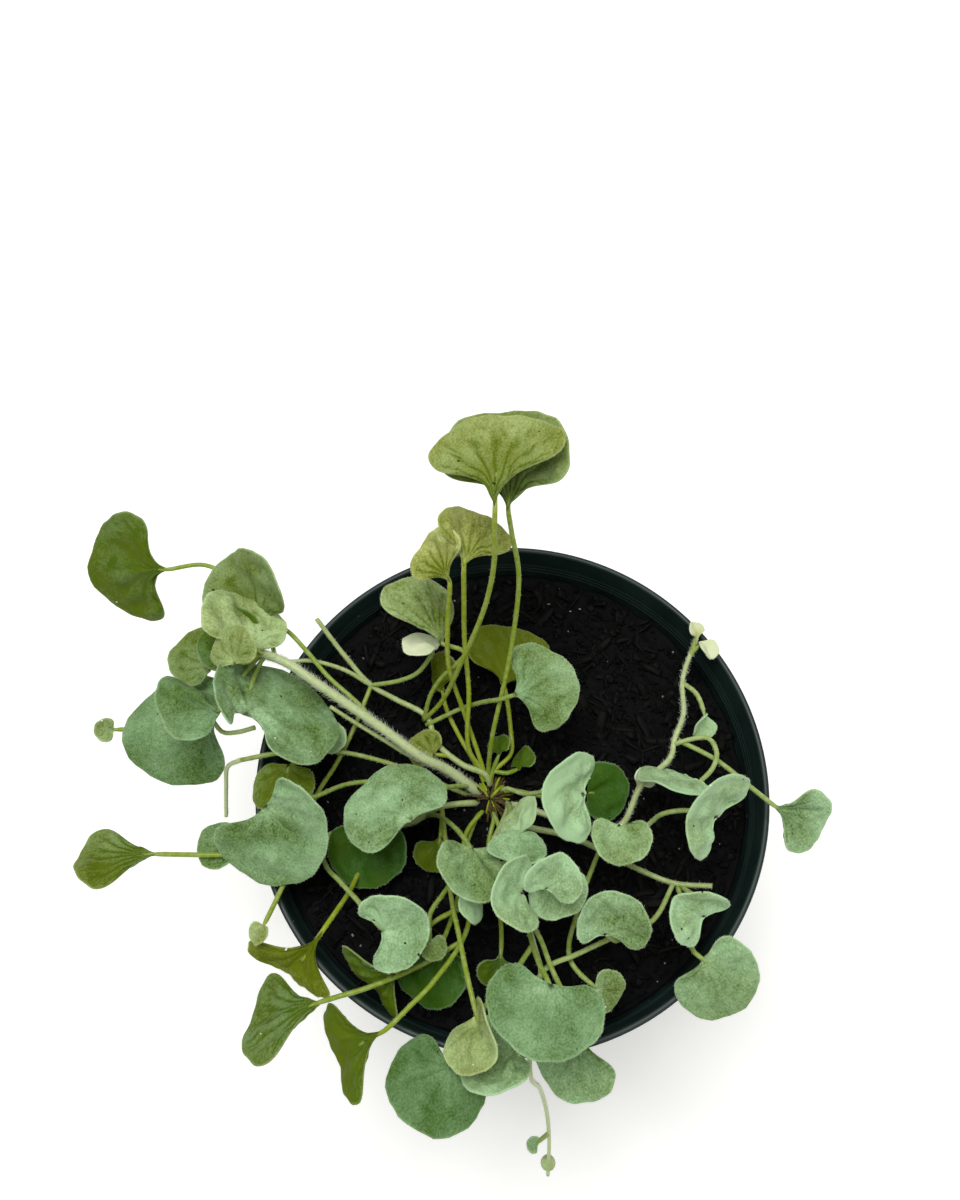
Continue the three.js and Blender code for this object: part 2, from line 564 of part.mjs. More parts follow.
const runnerRight = leafyStem([2.5, -5.5], [
  stem(RUNNER_RADIUS, 0.55, [
    [2.5, -5.5, 107], [9, -8, 108], [20, -12, 110], [27, -12, 115], [32, -3, 120],
    [39, 3, 124], [40, 7, 125], [43, 14, 124], [44, 24, 122], [49, 36, 120],
  ]),
  leaf([49, 35.5, 120], 7, [110, 10, 30], { lobes: 70, length: 0.7, fold: 20, pinch: 0.5 }, [[47, 31, 121]]),
  leaf([49.5, 35, 120], 8, [-60, -5, -30], { lobes: 80, length: 0.72, fold: 30 }, [[47.5, 32, 121]]),
  leaf([25, -14, 126], 16, [-98, 7, 3], { lobes: 142, length: 0.63, fold: 13, droop: -5, skew: 0.09 }, [
    [22, -12, 112], [24, -15, 120],
  ]),
  leaf([47, -13, 131], 25, [162, 58, -21], { lobes: 134, length: 0.62, fold: 17, droop: -5 }, [
    [27, -12, 115], [31, -14, 117], [34, -12, 120], [36, -11, 124], [41, -11, 128],
  ]),
  leaf([45, -4, 126], 21, [190, 31, 54], { lobes: 102, length: 0.71, fold: -7, skew: -0.14 }, [
    [40, 6, 125], [44, 7, 126], [48, 7, 127], [49.5, 3, 128], [48, -1, 128],
  ]),
  leaf([63, -9, 124], 22, [-17, -26, 22], { lobes: 72, length: 0.67, fold: 28, pinch: 0.73 }, [
    [41, 7, 125], [50, 2, 125], [58, -5, 125],
  ]),
  leaf([49, 14, 123], 9, [-132, -12, -53], { lobes: 109, length: 0.69, fold: 28, droop: -12 }, [
    [44, 23, 122], [47, 19, 124],
  ]),
  leaf([31, -3, 119.5], 7, [60, 10, 30], { lobes: 80, length: 0.72, fold: 20 }, [[30, -7, 118]]),
]);

const runnerFrontRight = leafyStem([1.5, -9], [
  stem(RUNNER_RADIUS, 0.6, [
    [1.5, -9, 107], [4, -11, 108], [15, -14, 110], [30, -22, 113], [39, -26, 115], [48, -27, 117],
  ]),
  leaf([0, -63, 125], 20.5, [208, 2, 33], { lobes: 131, length: 0.67, fold: 16, droop: -5 }, [
    [39, -26.2, 115], [33, -35, 117], [23, -39, 119], [14, -43, 121], [7, -46, 121.6], [2, -54, 123],
  ]),
  leaf([20, -39, 128], 20, [93, 37, 0], { lobes: 153, length: 0.56, fold: 16, droop: -6, skew: -0.2 }, [
    [25, -39, 118.5], [23, -40, 123],
  ]),
  leaf([43, -35, 128], 18, [156, 38, -30], { lobes: 133, length: 0.61, fold: 27, droop: -8 }, [
    [41, -27, 115], [44, -31, 121],
  ]),
  leaf([43, -44, 123], 23, [-35, -13, 25], { lobes: 119, length: 0.63, fold: -6, droop: 11, skew: -0.19 }, [
    [40, -27, 115], [41, -34, 118], [41, -42, 122],
  ]),
  leaf([18, -50, 120], 11, [-2, -20, 28], { lobes: 115, length: 0.67, fold: 7 }, [
    [22, -17, 111], [18, -26, 112], [15, -34, 114], [13, -40, 116], [13, -44, 118], [15, -47, 119],
  ]),
]);

const potPlastic = new THREE.MeshStandardMaterial({ color: "#15191b", roughness: 0.4, metalness: 0 });
const soilMix = new THREE.MeshStandardMaterial({ color: "#1e1a17", roughness: 0.95, metalness: 0 });
const silverLeaf = new THREE.MeshStandardMaterial({ color: "#8ea58c", roughness: 0.75, metalness: 0 });
const oliveLeaf = new THREE.MeshStandardMaterial({ color: "#77874b", roughness: 0.7, metalness: 0 });

const plantedPot = new THREE.Group();

function addNode(name, made, material) {
  const mesh = new THREE.Mesh(geometryOf(made), material);
  mesh.name = name;
  plantedPot.add(mesh);
}

addNode("pot", potSolid(), potPlastic);
addNode("soil", soilSolid(roots), soilMix);
addNode("stem_back", stemBack, oliveLeaf);
addNode("runner_left", runnerLeft, silverLeaf);
addNode("stem_left", stemLeft, silverLeaf);
addNode("runner_left_low", runnerLeftLow, silverLeaf);
addNode("stems_front_left", stemsFrontLeft, oliveLeaf);
addNode("stems_front", stemsFront, silverLeaf);
addNode("tuft_middle", tuftMiddle, silverLeaf);
addNode("stem_right_middle", stemRightMiddle, silverLeaf);
addNode("runner_right", runnerRight, silverLeaf);
addNode("runner_front_right", runnerFrontRight, silverLeaf);

export default plantedPot;
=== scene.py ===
# %% [markdown]
# # A potted silver ponyfoot
# A creeping plant with round, felted, silver-green leaves grows in a black nursery pot and spills
# over its rim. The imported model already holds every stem, leaf and the pot at their real size. This
# notebook gives each of them the surface that the eye expects: smooth thin blades with veins, hairy
# runners, bark and grit in the soil, and moulded plastic. Lengths are millimetres until a mesh is made.

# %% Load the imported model
import math
import bpy
import numpy as np
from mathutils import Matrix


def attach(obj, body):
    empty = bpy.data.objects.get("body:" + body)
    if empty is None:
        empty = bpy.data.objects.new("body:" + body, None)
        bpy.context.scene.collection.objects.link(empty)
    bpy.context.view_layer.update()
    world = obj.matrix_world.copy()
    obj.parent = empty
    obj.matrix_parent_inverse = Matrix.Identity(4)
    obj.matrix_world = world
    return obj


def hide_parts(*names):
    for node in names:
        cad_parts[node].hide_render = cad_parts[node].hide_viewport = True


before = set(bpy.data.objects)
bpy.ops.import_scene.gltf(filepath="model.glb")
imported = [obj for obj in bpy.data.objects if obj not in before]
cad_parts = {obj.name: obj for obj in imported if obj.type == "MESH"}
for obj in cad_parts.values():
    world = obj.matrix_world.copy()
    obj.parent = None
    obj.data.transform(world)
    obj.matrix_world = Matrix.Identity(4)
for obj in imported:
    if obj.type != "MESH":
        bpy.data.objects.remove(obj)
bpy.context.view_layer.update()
print("packed nodes:", sorted(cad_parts))

# %% [markdown]
# Three helpers serve every step. One turns a printed colour into the linear light that shaders
# count in. One turns arrays of points and faces into a piece that rides on the pot's body. One adds a
# shader node with its settings and links in a single line, so a material reads like a recipe.

# %% Colours, pieces and shader nodes
MM = 0.001


def linear(code):
    """A colour such as #8ea58c as linear red, green, blue and alpha.

    Each channel c is (c + 0.055) / 1.055 to the power 2.4, or c / 12.92 in the darkest part.
    """
    parts = [int(code[i:i + 2], 16) / 255 for i in (1, 3, 5)]
    return [((c + 0.055) / 1.055) ** 2.4 if c > 0.04045 else c / 12.92 for c in parts] + [1.0]


def piece(name, shape, material, node=None):
    """A mesh object from a shape, which is (points in mm, faces, {attribute: values at the points})."""
    points, faces, extra = shape
    mesh = bpy.data.meshes.new(name)
    mesh.from_pydata(points * MM, [], faces)
    mesh.shade_smooth()
    for word, values in extra.items():
        kind, key = ("FLOAT_VECTOR", "vector") if values.ndim == 2 else ("FLOAT", "value")
        layer = mesh.attributes.new(word, kind, "POINT")
        layer.data.foreach_set(key, values.astype(np.float32).ravel())
    mesh.materials.append(material)
    thing = bpy.data.objects.new(name, mesh)
    bpy.context.scene.collection.objects.link(thing)
    if node:
        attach(thing, "root")
        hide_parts(node)
    print(f"{name}: {len(points)} points, {len(faces)} faces")
    return thing


def add(tree, kind, links=None, stops=(), **settings):
    """A shader node of a kind, with its settings and links.

    A link's key is a socket's number or name. Its value is a socket, a node, whose first live output
    is meant, or a plain value. stops gives a colour ramp its two (position, colour code) pairs.
    """
    node = tree.nodes.new("ShaderNode" + kind)
    for word, value in settings.items():
        setattr(node, word, value)
    for k, (position, code) in enumerate(stops):
        node.color_ramp.elements[k].position = position
        node.color_ramp.elements[k].color = linear(code)
    for socket, value in (links or {}).items():
        if isinstance(value, bpy.types.Node):
            value = next(output for output in value.outputs if output.enabled)
        if isinstance(value, bpy.types.NodeSocket):
            tree.links.new(value, node.inputs[socket])
        else:
            node.inputs[socket].default_value = value
    return node


def finish_named(name):
    """A new material and its empty node tree."""
    material = bpy.data.materials.new(name)
    material.use_nodes = True
    material.node_tree.nodes.clear()
    return material, material.node_tree


print("middle grey as linear light:", round(linear("#808080")[0], 3))

# %% [markdown]
# The photograph looks steeply down from the front. Its camera was worked out from the round rim, whose
# outline in the picture gives the height and the tilt, and the lens is that of a phone held at arm's
# length. The camera comes first, so that every step can be looked at.

# %% Camera
CAMERA_PLACE = (-8.16, -59.77, 366.32)
CAMERA_TILT = 23.45
LENS_MM = 30
NEAREST = 5

camera = bpy.data.objects.new("camera", bpy.data.cameras.new("camera"))
bpy.context.scene.collection.objects.link(camera)
camera.location = [c * MM for c in CAMERA_PLACE]
camera.rotation_euler = (math.radians(CAMERA_TILT), 0, 0)
camera.data.lens = LENS_MM
camera.data.clip_start = NEAREST * MM
bpy.context.scene.camera = camera
print("camera above the floor, mm:", CAMERA_PLACE[2])

# %% [markdown]
# The plant stands on a plain pale floor in soft studio light. The floor is a lit white table, so that
# shadows on it stay faint. A wide lamp high over the pot, a little to the left and behind, gives the
# leaves their light side, a weaker one stands on the right, and a pale sky fills the shadows.

# %% Floor and light
FLOOR_HALF = 6000
FLOOR_DROP = 0.05
FLOOR_GLOW = 0.3
SKY_STRENGTH = 0.42
LIT_HEIGHT = 110
LAMPS = {"key": ((-110, 90, 960), 420, 5.7), "fill": ((600, -500, 800), 900, 1.0)}

floor_finish, tree = finish_named("painted_pale_board")
place = add(tree, "TexCoord").outputs["Object"]
grain = add(tree, "TexNoise", {"Vector": place, "Scale": 40.0, "Detail": 3.0})
paint = add(tree, "ValToRGB", {0: grain}, [(0.3, "#f6f6f4"), (0.7, "#fafaf8")])
board = add(tree, "BsdfPrincipled", {"Base Color": paint, "Roughness": 0.9,
                                     "Emission Color": linear("#fcfcfa"), "Emission Strength": FLOOR_GLOW})
add(tree, "OutputMaterial", {"Surface": board})
h = FLOOR_HALF
corners = np.array([(-h, -h, -FLOOR_DROP), (h, -h, -FLOOR_DROP), (h, h, -FLOOR_DROP), (-h, h, -FLOOR_DROP)])
floor = piece("floor", (corners, [(0, 1, 2, 3)], {}), floor_finish)


def lamp(name, place, size, power):
    """A square lamp at a place in mm that faces the plant's leaves. Its power is in watts."""
    light = bpy.data.lights.new(name, "AREA")
    light.size = size * MM
    light.energy = power
    holder = bpy.data.objects.new(name, light)
    bpy.context.scene.collection.objects.link(holder)
    holder.location = [c * MM for c in place]
    from_plant = np.array(place, float) - (0, 0, LIT_HEIGHT)
    flat = math.hypot(from_plant[0], from_plant[1])
    holder.rotation_euler = (0, math.atan2(flat, from_plant[2]), math.atan2(from_plant[1], from_plant[0]))


for name, (place, size, power) in LAMPS.items():
    lamp(name, place, size, power)
sky = bpy.data.worlds.new("pale_sky")
sky.use_nodes = True
air = sky.node_tree.nodes["Background"].inputs
air["Color"].default_value = linear("#fdfcf8")
air["Strength"].default_value = SKY_STRENGTH
bpy.context.scene.world = sky
bpy.context.scene.view_settings.view_transform = "Standard"
print("lamps:", list(LAMPS))

# %% [markdown]
# The pot is one moulding of thin black plastic: a tapered wall, a broad collar with a rounded lip,
# three fine rings on the collar's inside that keep stacked pots apart, and a foot with drain holes.
# Such a pot is round all over, so its surface is a profile carried round an axis, as on a lathe. The
# rings are small steps in that profile.

# %% Pot: the turned shell
POT_HEIGHT = 116
RIM_RADIUS = 65
LIP = 1.5
FOOT_RADIUS = 46.5
BODY_TOP_RADIUS = 61.6
COLLAR_FOOT_RADIUS = 63.6
COLLAR_BOTTOM = 100
WALL = 1.3
COLLAR_STEP = 103
COLLAR_INSIDE_RADIUS = 61.8
POT_FLOOR = 2
RINGS = (109.2, 107.8, 106.4)
RING_DEPTH = 0.18
RING_FOOT_HALF = 0.5
RING_FACE_HALF = 0.3
CORNER_STEPS = 5
TURNED_SIDES = 180


def rounded(profile, radius):
    """The profile with each inner corner cut back by its radius and bridged by a parabola.

    Between the points P and Q where the cut begins and ends, with the corner C, a point is
    (1 - u)^2 P + 2 u (1 - u) C + u^2 Q.
    """
    p = np.array(profile, float)
    c = p[1:-1]
    reach = np.broadcast_to(radius, len(c))[:, None]

    def back(side):
        gap = side - c
        length = np.linalg.norm(gap, axis=1, keepdims=True)
        return c + gap / length * np.minimum(reach, 0.45 * length)

    u = np.linspace(0, 1, CORNER_STEPS)[None, :, None]
    start, end = back(p[:-2])[:, None], back(p[2:])[:, None]
    bridge = (1 - u) ** 2 * start + 2 * u * (1 - u) * c[:, None] + u ** 2 * end
    return np.concatenate([p[:1], bridge.reshape(-1, 2), p[-1:]])


def capped(rings, sides):
    """The faces of a row of rings, closed by a fan to the point before them and one to the point after."""
    k, i = np.meshgrid(np.arange(rings - 1), np.arange(sides), indexing="ij")
    here, beside = 1 + k * sides + i, 1 + k * sides + (i + 1) % sides
    walls = np.stack([here, beside, beside + sides, here + sides], -1).reshape(-1, 4)
    i = np.arange(sides)
    j = (i + 1) % sides
    last = 1 + (rings - 1) * sides
    first_fan = np.stack([np.zeros(sides, int), 1 + j, 1 + i], -1)
    last_fan = np.stack([np.full(sides, last + sides), last + i, last + j], -1)
    return walls.tolist() + first_fan.tolist() + last_fan.tolist()


def turned(profile, sides=TURNED_SIDES):
    """A closed surface of revolution about Z, from (radius, height) points that run from axis to axis.

    The point at turn a and place k is (radius_k cos a, radius_k sin a, height_k).
    """
    p = np.array(profile, float)
    a = np.linspace(0, 2 * np.pi, sides, endpoint=False)
    r, z = p[1:-1, 0], p[1:-1, 1]
    ring = np.stack([r[:, None] * np.cos(a), r[:, None] * np.sin(a), np.repeat(z[:, None], sides, 1)], -1)
    points = np.concatenate([[(0, 0, p[0, 1])], ring.reshape(-1, 3), [(0, 0, p[-1, 1])]])
    return points, capped(len(r), sides), {}


outside = [(0, 0), (FOOT_RADIUS, 0), (BODY_TOP_RADIUS, COLLAR_BOTTOM - 0.6),
           (COLLAR_FOOT_RADIUS, COLLAR_BOTTOM), (RIM_RADIUS, POT_HEIGHT), (RIM_RADIUS - LIP, POT_HEIGHT)]
collar_slope = (RIM_RADIUS - LIP - COLLAR_INSIDE_RADIUS) / (POT_HEIGHT - COLLAR_STEP)
rings = []
for z in RINGS:
    r = COLLAR_INSIDE_RADIUS + collar_slope * (z - COLLAR_STEP)
    rings += [(r, z + RING_FOOT_HALF), (r - RING_DEPTH, z + RING_FACE_HALF),
              (r - RING_DEPTH, z - RING_FACE_HALF), (r, z - RING_FOOT_HALF)]
inside = [(COLLAR_INSIDE_RADIUS, COLLAR_STEP), (BODY_TOP_RADIUS - WALL, COLLAR_STEP - 1),
          (FOOT_RADIUS - WALL, POT_FLOOR), (0, POT_FLOOR)]
corner_radii = [0.8, 0.5, 0.5, 0.7, 0.7] + [0.12] * len(rings) + [0.5, 0.5, 0.8]
shell = turned(rounded(outside + rings + inside, corner_radii))
print("pot profile corners:", len(corner_radii))

# %% [markdown]
# Water leaves through eight round holes in the foot. A shallow channel crosses each hole and runs out
# to the foot's edge, so that the holes stay open on a flat table. Round holes in a flat foot don't fit
# a turned grid, so cylinders and boxes are made here and cut out afterwards with a Boolean.

# %% Pot: what cuts the drain holes and channels
HOLES = 8
HOLE_RADIUS = 4
HOLE_CIRCLE = 37
CHANNEL = (27, 5, 0.8)
CUTTER_SIDES = 32


def upright(radius, bottom, top, x, y):
    """A cylinder as a turned shape about (x, y)."""
    points, faces, extra = turned([(0, bottom), (radius, bottom), (radius, top), (0, top)], CUTTER_SIDES)
    return points + (x, y, 0), faces, extra


def block(length, width, depth, x, turn):
    """A box from depth below the ground to depth above it, centred x from the axis toward turn."""
    c = np.array([(i, j, k) for i in (-1, 1) for j in (-1, 1) for k in (-1, 1)])
    c = c * (length, width, 2 * depth) / 2
    c = c + (x, 0, 0)
    c = np.stack([c[:, 0] * np.cos(turn) - c[:, 1] * np.sin(turn),
                  c[:, 0] * np.sin(turn) + c[:, 1] * np.cos(turn),
                  c[:, 2]], -1)
    return c, [(0, 1, 3, 2), (4, 6, 7, 5), (0, 4, 5, 1), (2, 3, 7, 6), (0, 2, 6, 4), (1, 5, 7, 3)], {}


def cut(thing, shape):
    """Takes a shape out of a piece for good, so that no live modifier is left on it."""
    tool = piece("cutter", shape, thing.data.materials[0])
    boolean = thing.modifiers.new("cut", "BOOLEAN")
    boolean.object = tool
    boolean.solver = "EXACT"
    bpy.context.view_layer.update()
    evaluated = thing.evaluated_get(bpy.context.evaluated_depsgraph_get())
    mesh = bpy.data.meshes.new_from_object(evaluated)
    thing.modifiers.clear()
    thing.data = mesh
    bpy.data.objects.remove(tool)


drains = []
for turn in np.arange(HOLES) * 2 * np.pi / HOLES:
    x, y = HOLE_CIRCLE * np.cos(turn), HOLE_CIRCLE * np.sin(turn)
    drains.append(upright(HOLE_RADIUS, -1, POT_FLOOR + 1, x, y))
    length, width, depth = CHANNEL
    drains.append(block(length, width, depth, FOOT_RADIUS + 1 - length / 2, turn))
print("shapes to cut out of the foot:", len(drains))

# %% [markdown]
# The plastic is recycled polypropylene, smooth from its mould but not polished. To the eye that is a
# black with a soft blue-green gloss, a fine orange-peel, and dust that stays in specks on the wall.
# The gloss is the shader's own, soft clouds vary it and the tone a little, and the peel is a bump.

# %% Pot: finish
PEEL_MM = 0.6
CLOUD_MM = 16
SPECK_MM = 2.2

polypropylene, tree = finish_named("moulded_polypropylene_black")
place = add(tree, "TexCoord").outputs["Object"]
peel = add(tree, "TexNoise", {"Vector": place, "Scale": 1 / (PEEL_MM * MM), "Detail": 2.0})
cloud = add(tree, "TexNoise", {"Vector": place, "Scale": 1 / (CLOUD_MM * MM), "Detail": 4.0})
body = add(tree, "ValToRGB", {0: cloud}, [(0.3, "#101d1b"), (0.7, "#1a2d2a")])
dust = add(tree, "TexVoronoi", {"Vector": place, "Scale": 1 / (SPECK_MM * MM)})
chance = add(tree, "SeparateColor", {0: dust.outputs["Color"]})
small = add(tree, "Math", {0: dust, 1: 0.1}, operation="LESS_THAN")
rare = add(tree, "Math", {0: chance, 1: 0.93}, operation="GREATER_THAN")
speck = add(tree, "Math", {0: small, 1: rare}, operation="MULTIPLY")
dusty = add(tree, "Mix", {0: speck, 6: body, 7: linear("#8b8f88")}, data_type="RGBA")
gloss = add(tree, "MapRange", {0: cloud, 1: 0.3, 2: 0.7, 3: 0.42, 4: 0.52})
bump = add(tree, "Bump", {"Height": peel, "Strength": 0.15, "Distance": 0.05 * MM})
plastic = add(tree, "BsdfPrincipled", {
    "Base Color": dusty, "Roughness": gloss, "Specular IOR Level": 0.4, "Normal": bump})
add(tree, "OutputMaterial", {"Surface": plastic})

pot = piece("pot_shell", shell, polypropylene, "pot")
for shape in drains:
    cut(pot, shape)
print("pot after the drains:", len(pot.data.polygons), "faces")

# %% [markdown]
# The soil is damp potting mix: shredded bark, peat crumbs, fibres and a little pale grit. Its top isn't
# flat, so one round grid carries the large lumps of the packed soil and finer ones of its own. Loose
# bits then lie on it. All of them are the same blunt stone shape, stretched, jittered and turned, with
# few faces because there are thousands.

# %% Soil: the mass
SOIL_TOP = 104.7
SOIL_GAP = 0.5
SOIL_SIDES = 240
CLUMP = (54, -9, 4, 4)
RELIEFS = ((0.5, 5, 9, 2), (0.35, 2.2, 9, 3), (0.2, 1, 14, 4))
RELIEF_SCALE = 0.8


def between(low, high, x):
    """0 at low and 1 at high, with a smooth start and end: 3u^2 - 2u^3."""
    u = np.clip((x - low) / (high - low), 0, 1)
    return u * u * (3 - 2 * u)


def waves(x, y, length, count, seed):
    """A smooth random relief: count sine waves of about one length in random directions.

    Their sum is divided by the square root of count, so that most heights lie between -1 and 1.
    """
    draw = np.random.default_rng(seed)
    turn, shift = draw.uniform(0, 2 * np.pi, (2, count))
    k = 2 * np.pi / length * draw.uniform(0.7, 1.4, count)
    across = x[..., None] * np.cos(turn) + y[..., None] * np.sin(turn)
    return np.sin(k * across + shift).sum(-1) / np.sqrt(count)


def soil_height(x, y):
    """The packed soil's relief: three sine products over the top's height, and one clump."""
    coarse = 0.35 * np.sin(0.31 * x + 1.1) * np.cos(0.27 * y)
    fine = 0.3 * np.sin(0.83 * x + 0.52 * y) + 0.25 * np.cos(0.71 * y - 0.4 * x + 2)
    cx, cy, height, spread = CLUMP
    return SOIL_TOP + coarse + fine + height * np.exp(-((x - cx) ** 2 + (y - cy) ** 2) / (2 * spread ** 2))


top_edge = COLLAR_INSIDE_RADIUS - SOIL_GAP
top = [(r, SOIL_TOP) for r in np.linspace(0, top_edge, 90)]
side = [(BODY_TOP_RADIUS - WALL - SOIL_GAP, COLLAR_STEP - 1.3),
        (FOOT_RADIUS - WALL - SOIL_GAP, POT_FLOOR + 1), (0, POT_FLOOR + 1)]
points, faces, extra = turned((top + side)[::-1], SOIL_SIDES)
x, y, z = points.T
rough = sum(height * waves(x, y, length, count, seed) for height, length, count, seed in RELIEFS)
rough = RELIEF_SCALE * rough * between(0, 3, top_edge + 1 - np.hypot(x, y))
points[:, 2] = np.where(z > COLLAR_STEP, soil_height(x, y) + rough, z)
print("soil relief from", round(rough.min(), 1), "to", round(rough.max(), 1), "mm")

# %% [markdown]
# Wet peat is nearly black and only glints where a crumb is wet. Damp bark is a very dark warm brown,
# and grit is pale and dull. Every pattern is about as large as the grain of the bits themselves.

# %% Soil: finishes
EARTH_SHINE = 0.12


def earth(name, dark, light, size_mm, roughness, bump_mm):
    """A mineral or bark finish: two browns mixed by noise of the grain's size, with a bump of its own."""
    material, tree = finish_named(name)
    place = add(tree, "TexCoord").outputs["Object"]
    scale = 1 / (size_mm * MM)
    noise = add(tree, "TexNoise", {"Vector": place, "Scale": scale, "Detail": 5.0, "Roughness": 0.65})
    colour = add(tree, "ValToRGB", {0: noise}, [(0.35, dark), (0.7, light)])
    bump = add(tree, "Bump", {"Height": noise, "Strength": 0.6, "Distance": bump_mm * MM})
    skin = add(tree, "BsdfPrincipled", {"Base Color": colour, "Roughness": roughness, "Normal": bump,
                                        "Specular IOR Level": EARTH_SHINE})
    add(tree, "OutputMaterial", {"Surface": skin})
    return material


peat = earth("damp_peat", "#010202", "#080a08", 0.8, 0.8, 0.3)
bark = earth("composted_bark", "#030404", "#100f0c", 1.2, 0.7, 0.2)
grit = earth("pale_grit", "#5d584e", "#b3ac9d", 0.5, 0.85, 0.1)
piece("soil_mass", (points, faces, extra), peat, "soil")


# %% Soil: bark, crumbs and grit
BIT_SIDES = 7


def stones(centre, size, turn, tilt, seed):
    """Many blunt bits: one rough ball of three rings and two poles, stretched, tilted and turned.

    The ball's corner at longitude a and latitude b is (cos b cos a, cos b sin a, sin b), made blockier
    by the power 0.5 and moved by up to a third at random.
    """
    draw = np.random.default_rng(seed)
    b = np.linspace(-np.pi / 2, np.pi / 2, 5)[1:-1]
    a = np.linspace(0, 2 * np.pi, BIT_SIDES, endpoint=False)
    ball = np.stack([np.cos(b)[:, None] * np.cos(a), np.cos(b)[:, None] * np.sin(a),
                     np.repeat(np.sin(b)[:, None], BIT_SIDES, 1)], -1).reshape(-1, 3)
    ball = np.concatenate([[(0, 0, -1)], ball, [(0, 0, 1)]])
    ball = np.sign(ball) * np.abs(ball) ** 0.5
    n = len(centre)
    p = ball[None] * (1 + draw.uniform(-0.35, 0.3, (n, len(ball), 3))) * size[:, None] / 2
    c, s = np.cos(tilt)[:, None], np.sin(tilt)[:, None]
    p = np.stack([p[..., 0] * c - p[..., 2] * s, p[..., 1], p[..., 0] * s + p[..., 2] * c], -1)
    c, s = np.cos(turn)[:, None], np.sin(turn)[:, None]
    p = np.stack([p[..., 0] * c - p[..., 1] * s, p[..., 0] * s + p[..., 1] * c, p[..., 2]], -1)
    p = p + centre[:, None]
    i = np.arange(BIT_SIDES)
    j = (i + 1) % BIT_SIDES
    first, middle, last = 1 + BIT_SIDES * np.arange(3)
    faces = [np.stack([0 * i, first + j, first + i], -1),
             np.stack([0 * i + len(ball) - 1, last + i, last + j], -1)]
    faces += [np.stack([k + i, k + j, k + BIT_SIDES + j], -1) for k in (first, middle)]
    faces += [np.stack([k + i, k + BIT_SIDES + j, k + BIT_SIDES + i], -1) for k in (first, middle)]
    every = np.concatenate(faces)[None] + (np.arange(n) * len(ball))[:, None, None]
    return p.reshape(-1, 3), every.reshape(-1, 3), {}


def scattered(count, long, wide, thick, lift, seed):
    """Bits strewn over the soil, with each size drawn between two bounds and longer bits rarer."""
    draw = np.random.default_rng(seed)
    radius = (top_edge - 1.5) * np.sqrt(draw.uniform(0, 1, count))
    turn = draw.uniform(0, 2 * np.pi, count)
    x, y = radius * np.cos(turn), radius * np.sin(turn)
    sizes = [low + (high - low) * draw.uniform(0, 1, count) ** 2 for low, high in (long, wide, thick)]
    size = np.stack(sizes, -1)
    centre = np.stack([x, y, soil_height(x, y) + lift * size[:, 2]], -1)
    return stones(centre, size, draw.uniform(0, 2 * np.pi, count), draw.normal(0, 0.3, count), seed + 1)


for name, finish, shape in (
    ("soil_bark", bark, scattered(900, (2, 11), (0.6, 3.0), (0.4, 1.4), 0.4, 21)),
    ("soil_crumbs", peat, scattered(4200, (0.5, 2.4), (0.5, 1.6), (0.4, 1.3), 0.4, 31)),
    ("soil_grit", grit, scattered(110, (0.3, 1.0), (0.3, 0.8), (0.3, 0.7), 0.6, 41)),
):
    piece(name, shape, finish, "soil")

# %% [markdown]
# Every stem of the plant carries blades on stalks. A blade is kidney-shaped: its margin lies at a
# distance from the stalk that depends on the direction, and two round lobes close in behind the stalk.
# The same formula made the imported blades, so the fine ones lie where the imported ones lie. Here the
# grid is finer, seven veins and soft swellings between them are pressed in, and the margin is thin.
# Each leaf says how it differs from the common form: its angles are in degrees, and its length, its
# neck and the like are shares of its width.

# %% Blade: where its surface lies
LEAF_FORM = dict(lobes=125, length=0.66, fold=0, droop=0, skew=0, pinch=0.2, neck=0.3, warm=0)
SIDE_LENGTH = 0.43
FUNNEL = 0.8
RIPPLE = 0.018


def leaf_axes(angles):
    """Unit vectors along a leaf, across it to the left, and out of its upper face.

    Heading turns from +X toward +Y, pitch lifts the tip and roll lifts the left side, in degrees.
    """
    h, p, q = np.radians(angles)
    along = np.array([np.cos(h) * np.cos(p), np.sin(h) * np.cos(p), np.sin(p)])
    level = np.array([-np.sin(h), np.cos(h), 0])
    over = np.cross(along, level)
    return along, level * np.cos(q) + over * np.sin(q), over * np.cos(q) - level * np.sin(q)


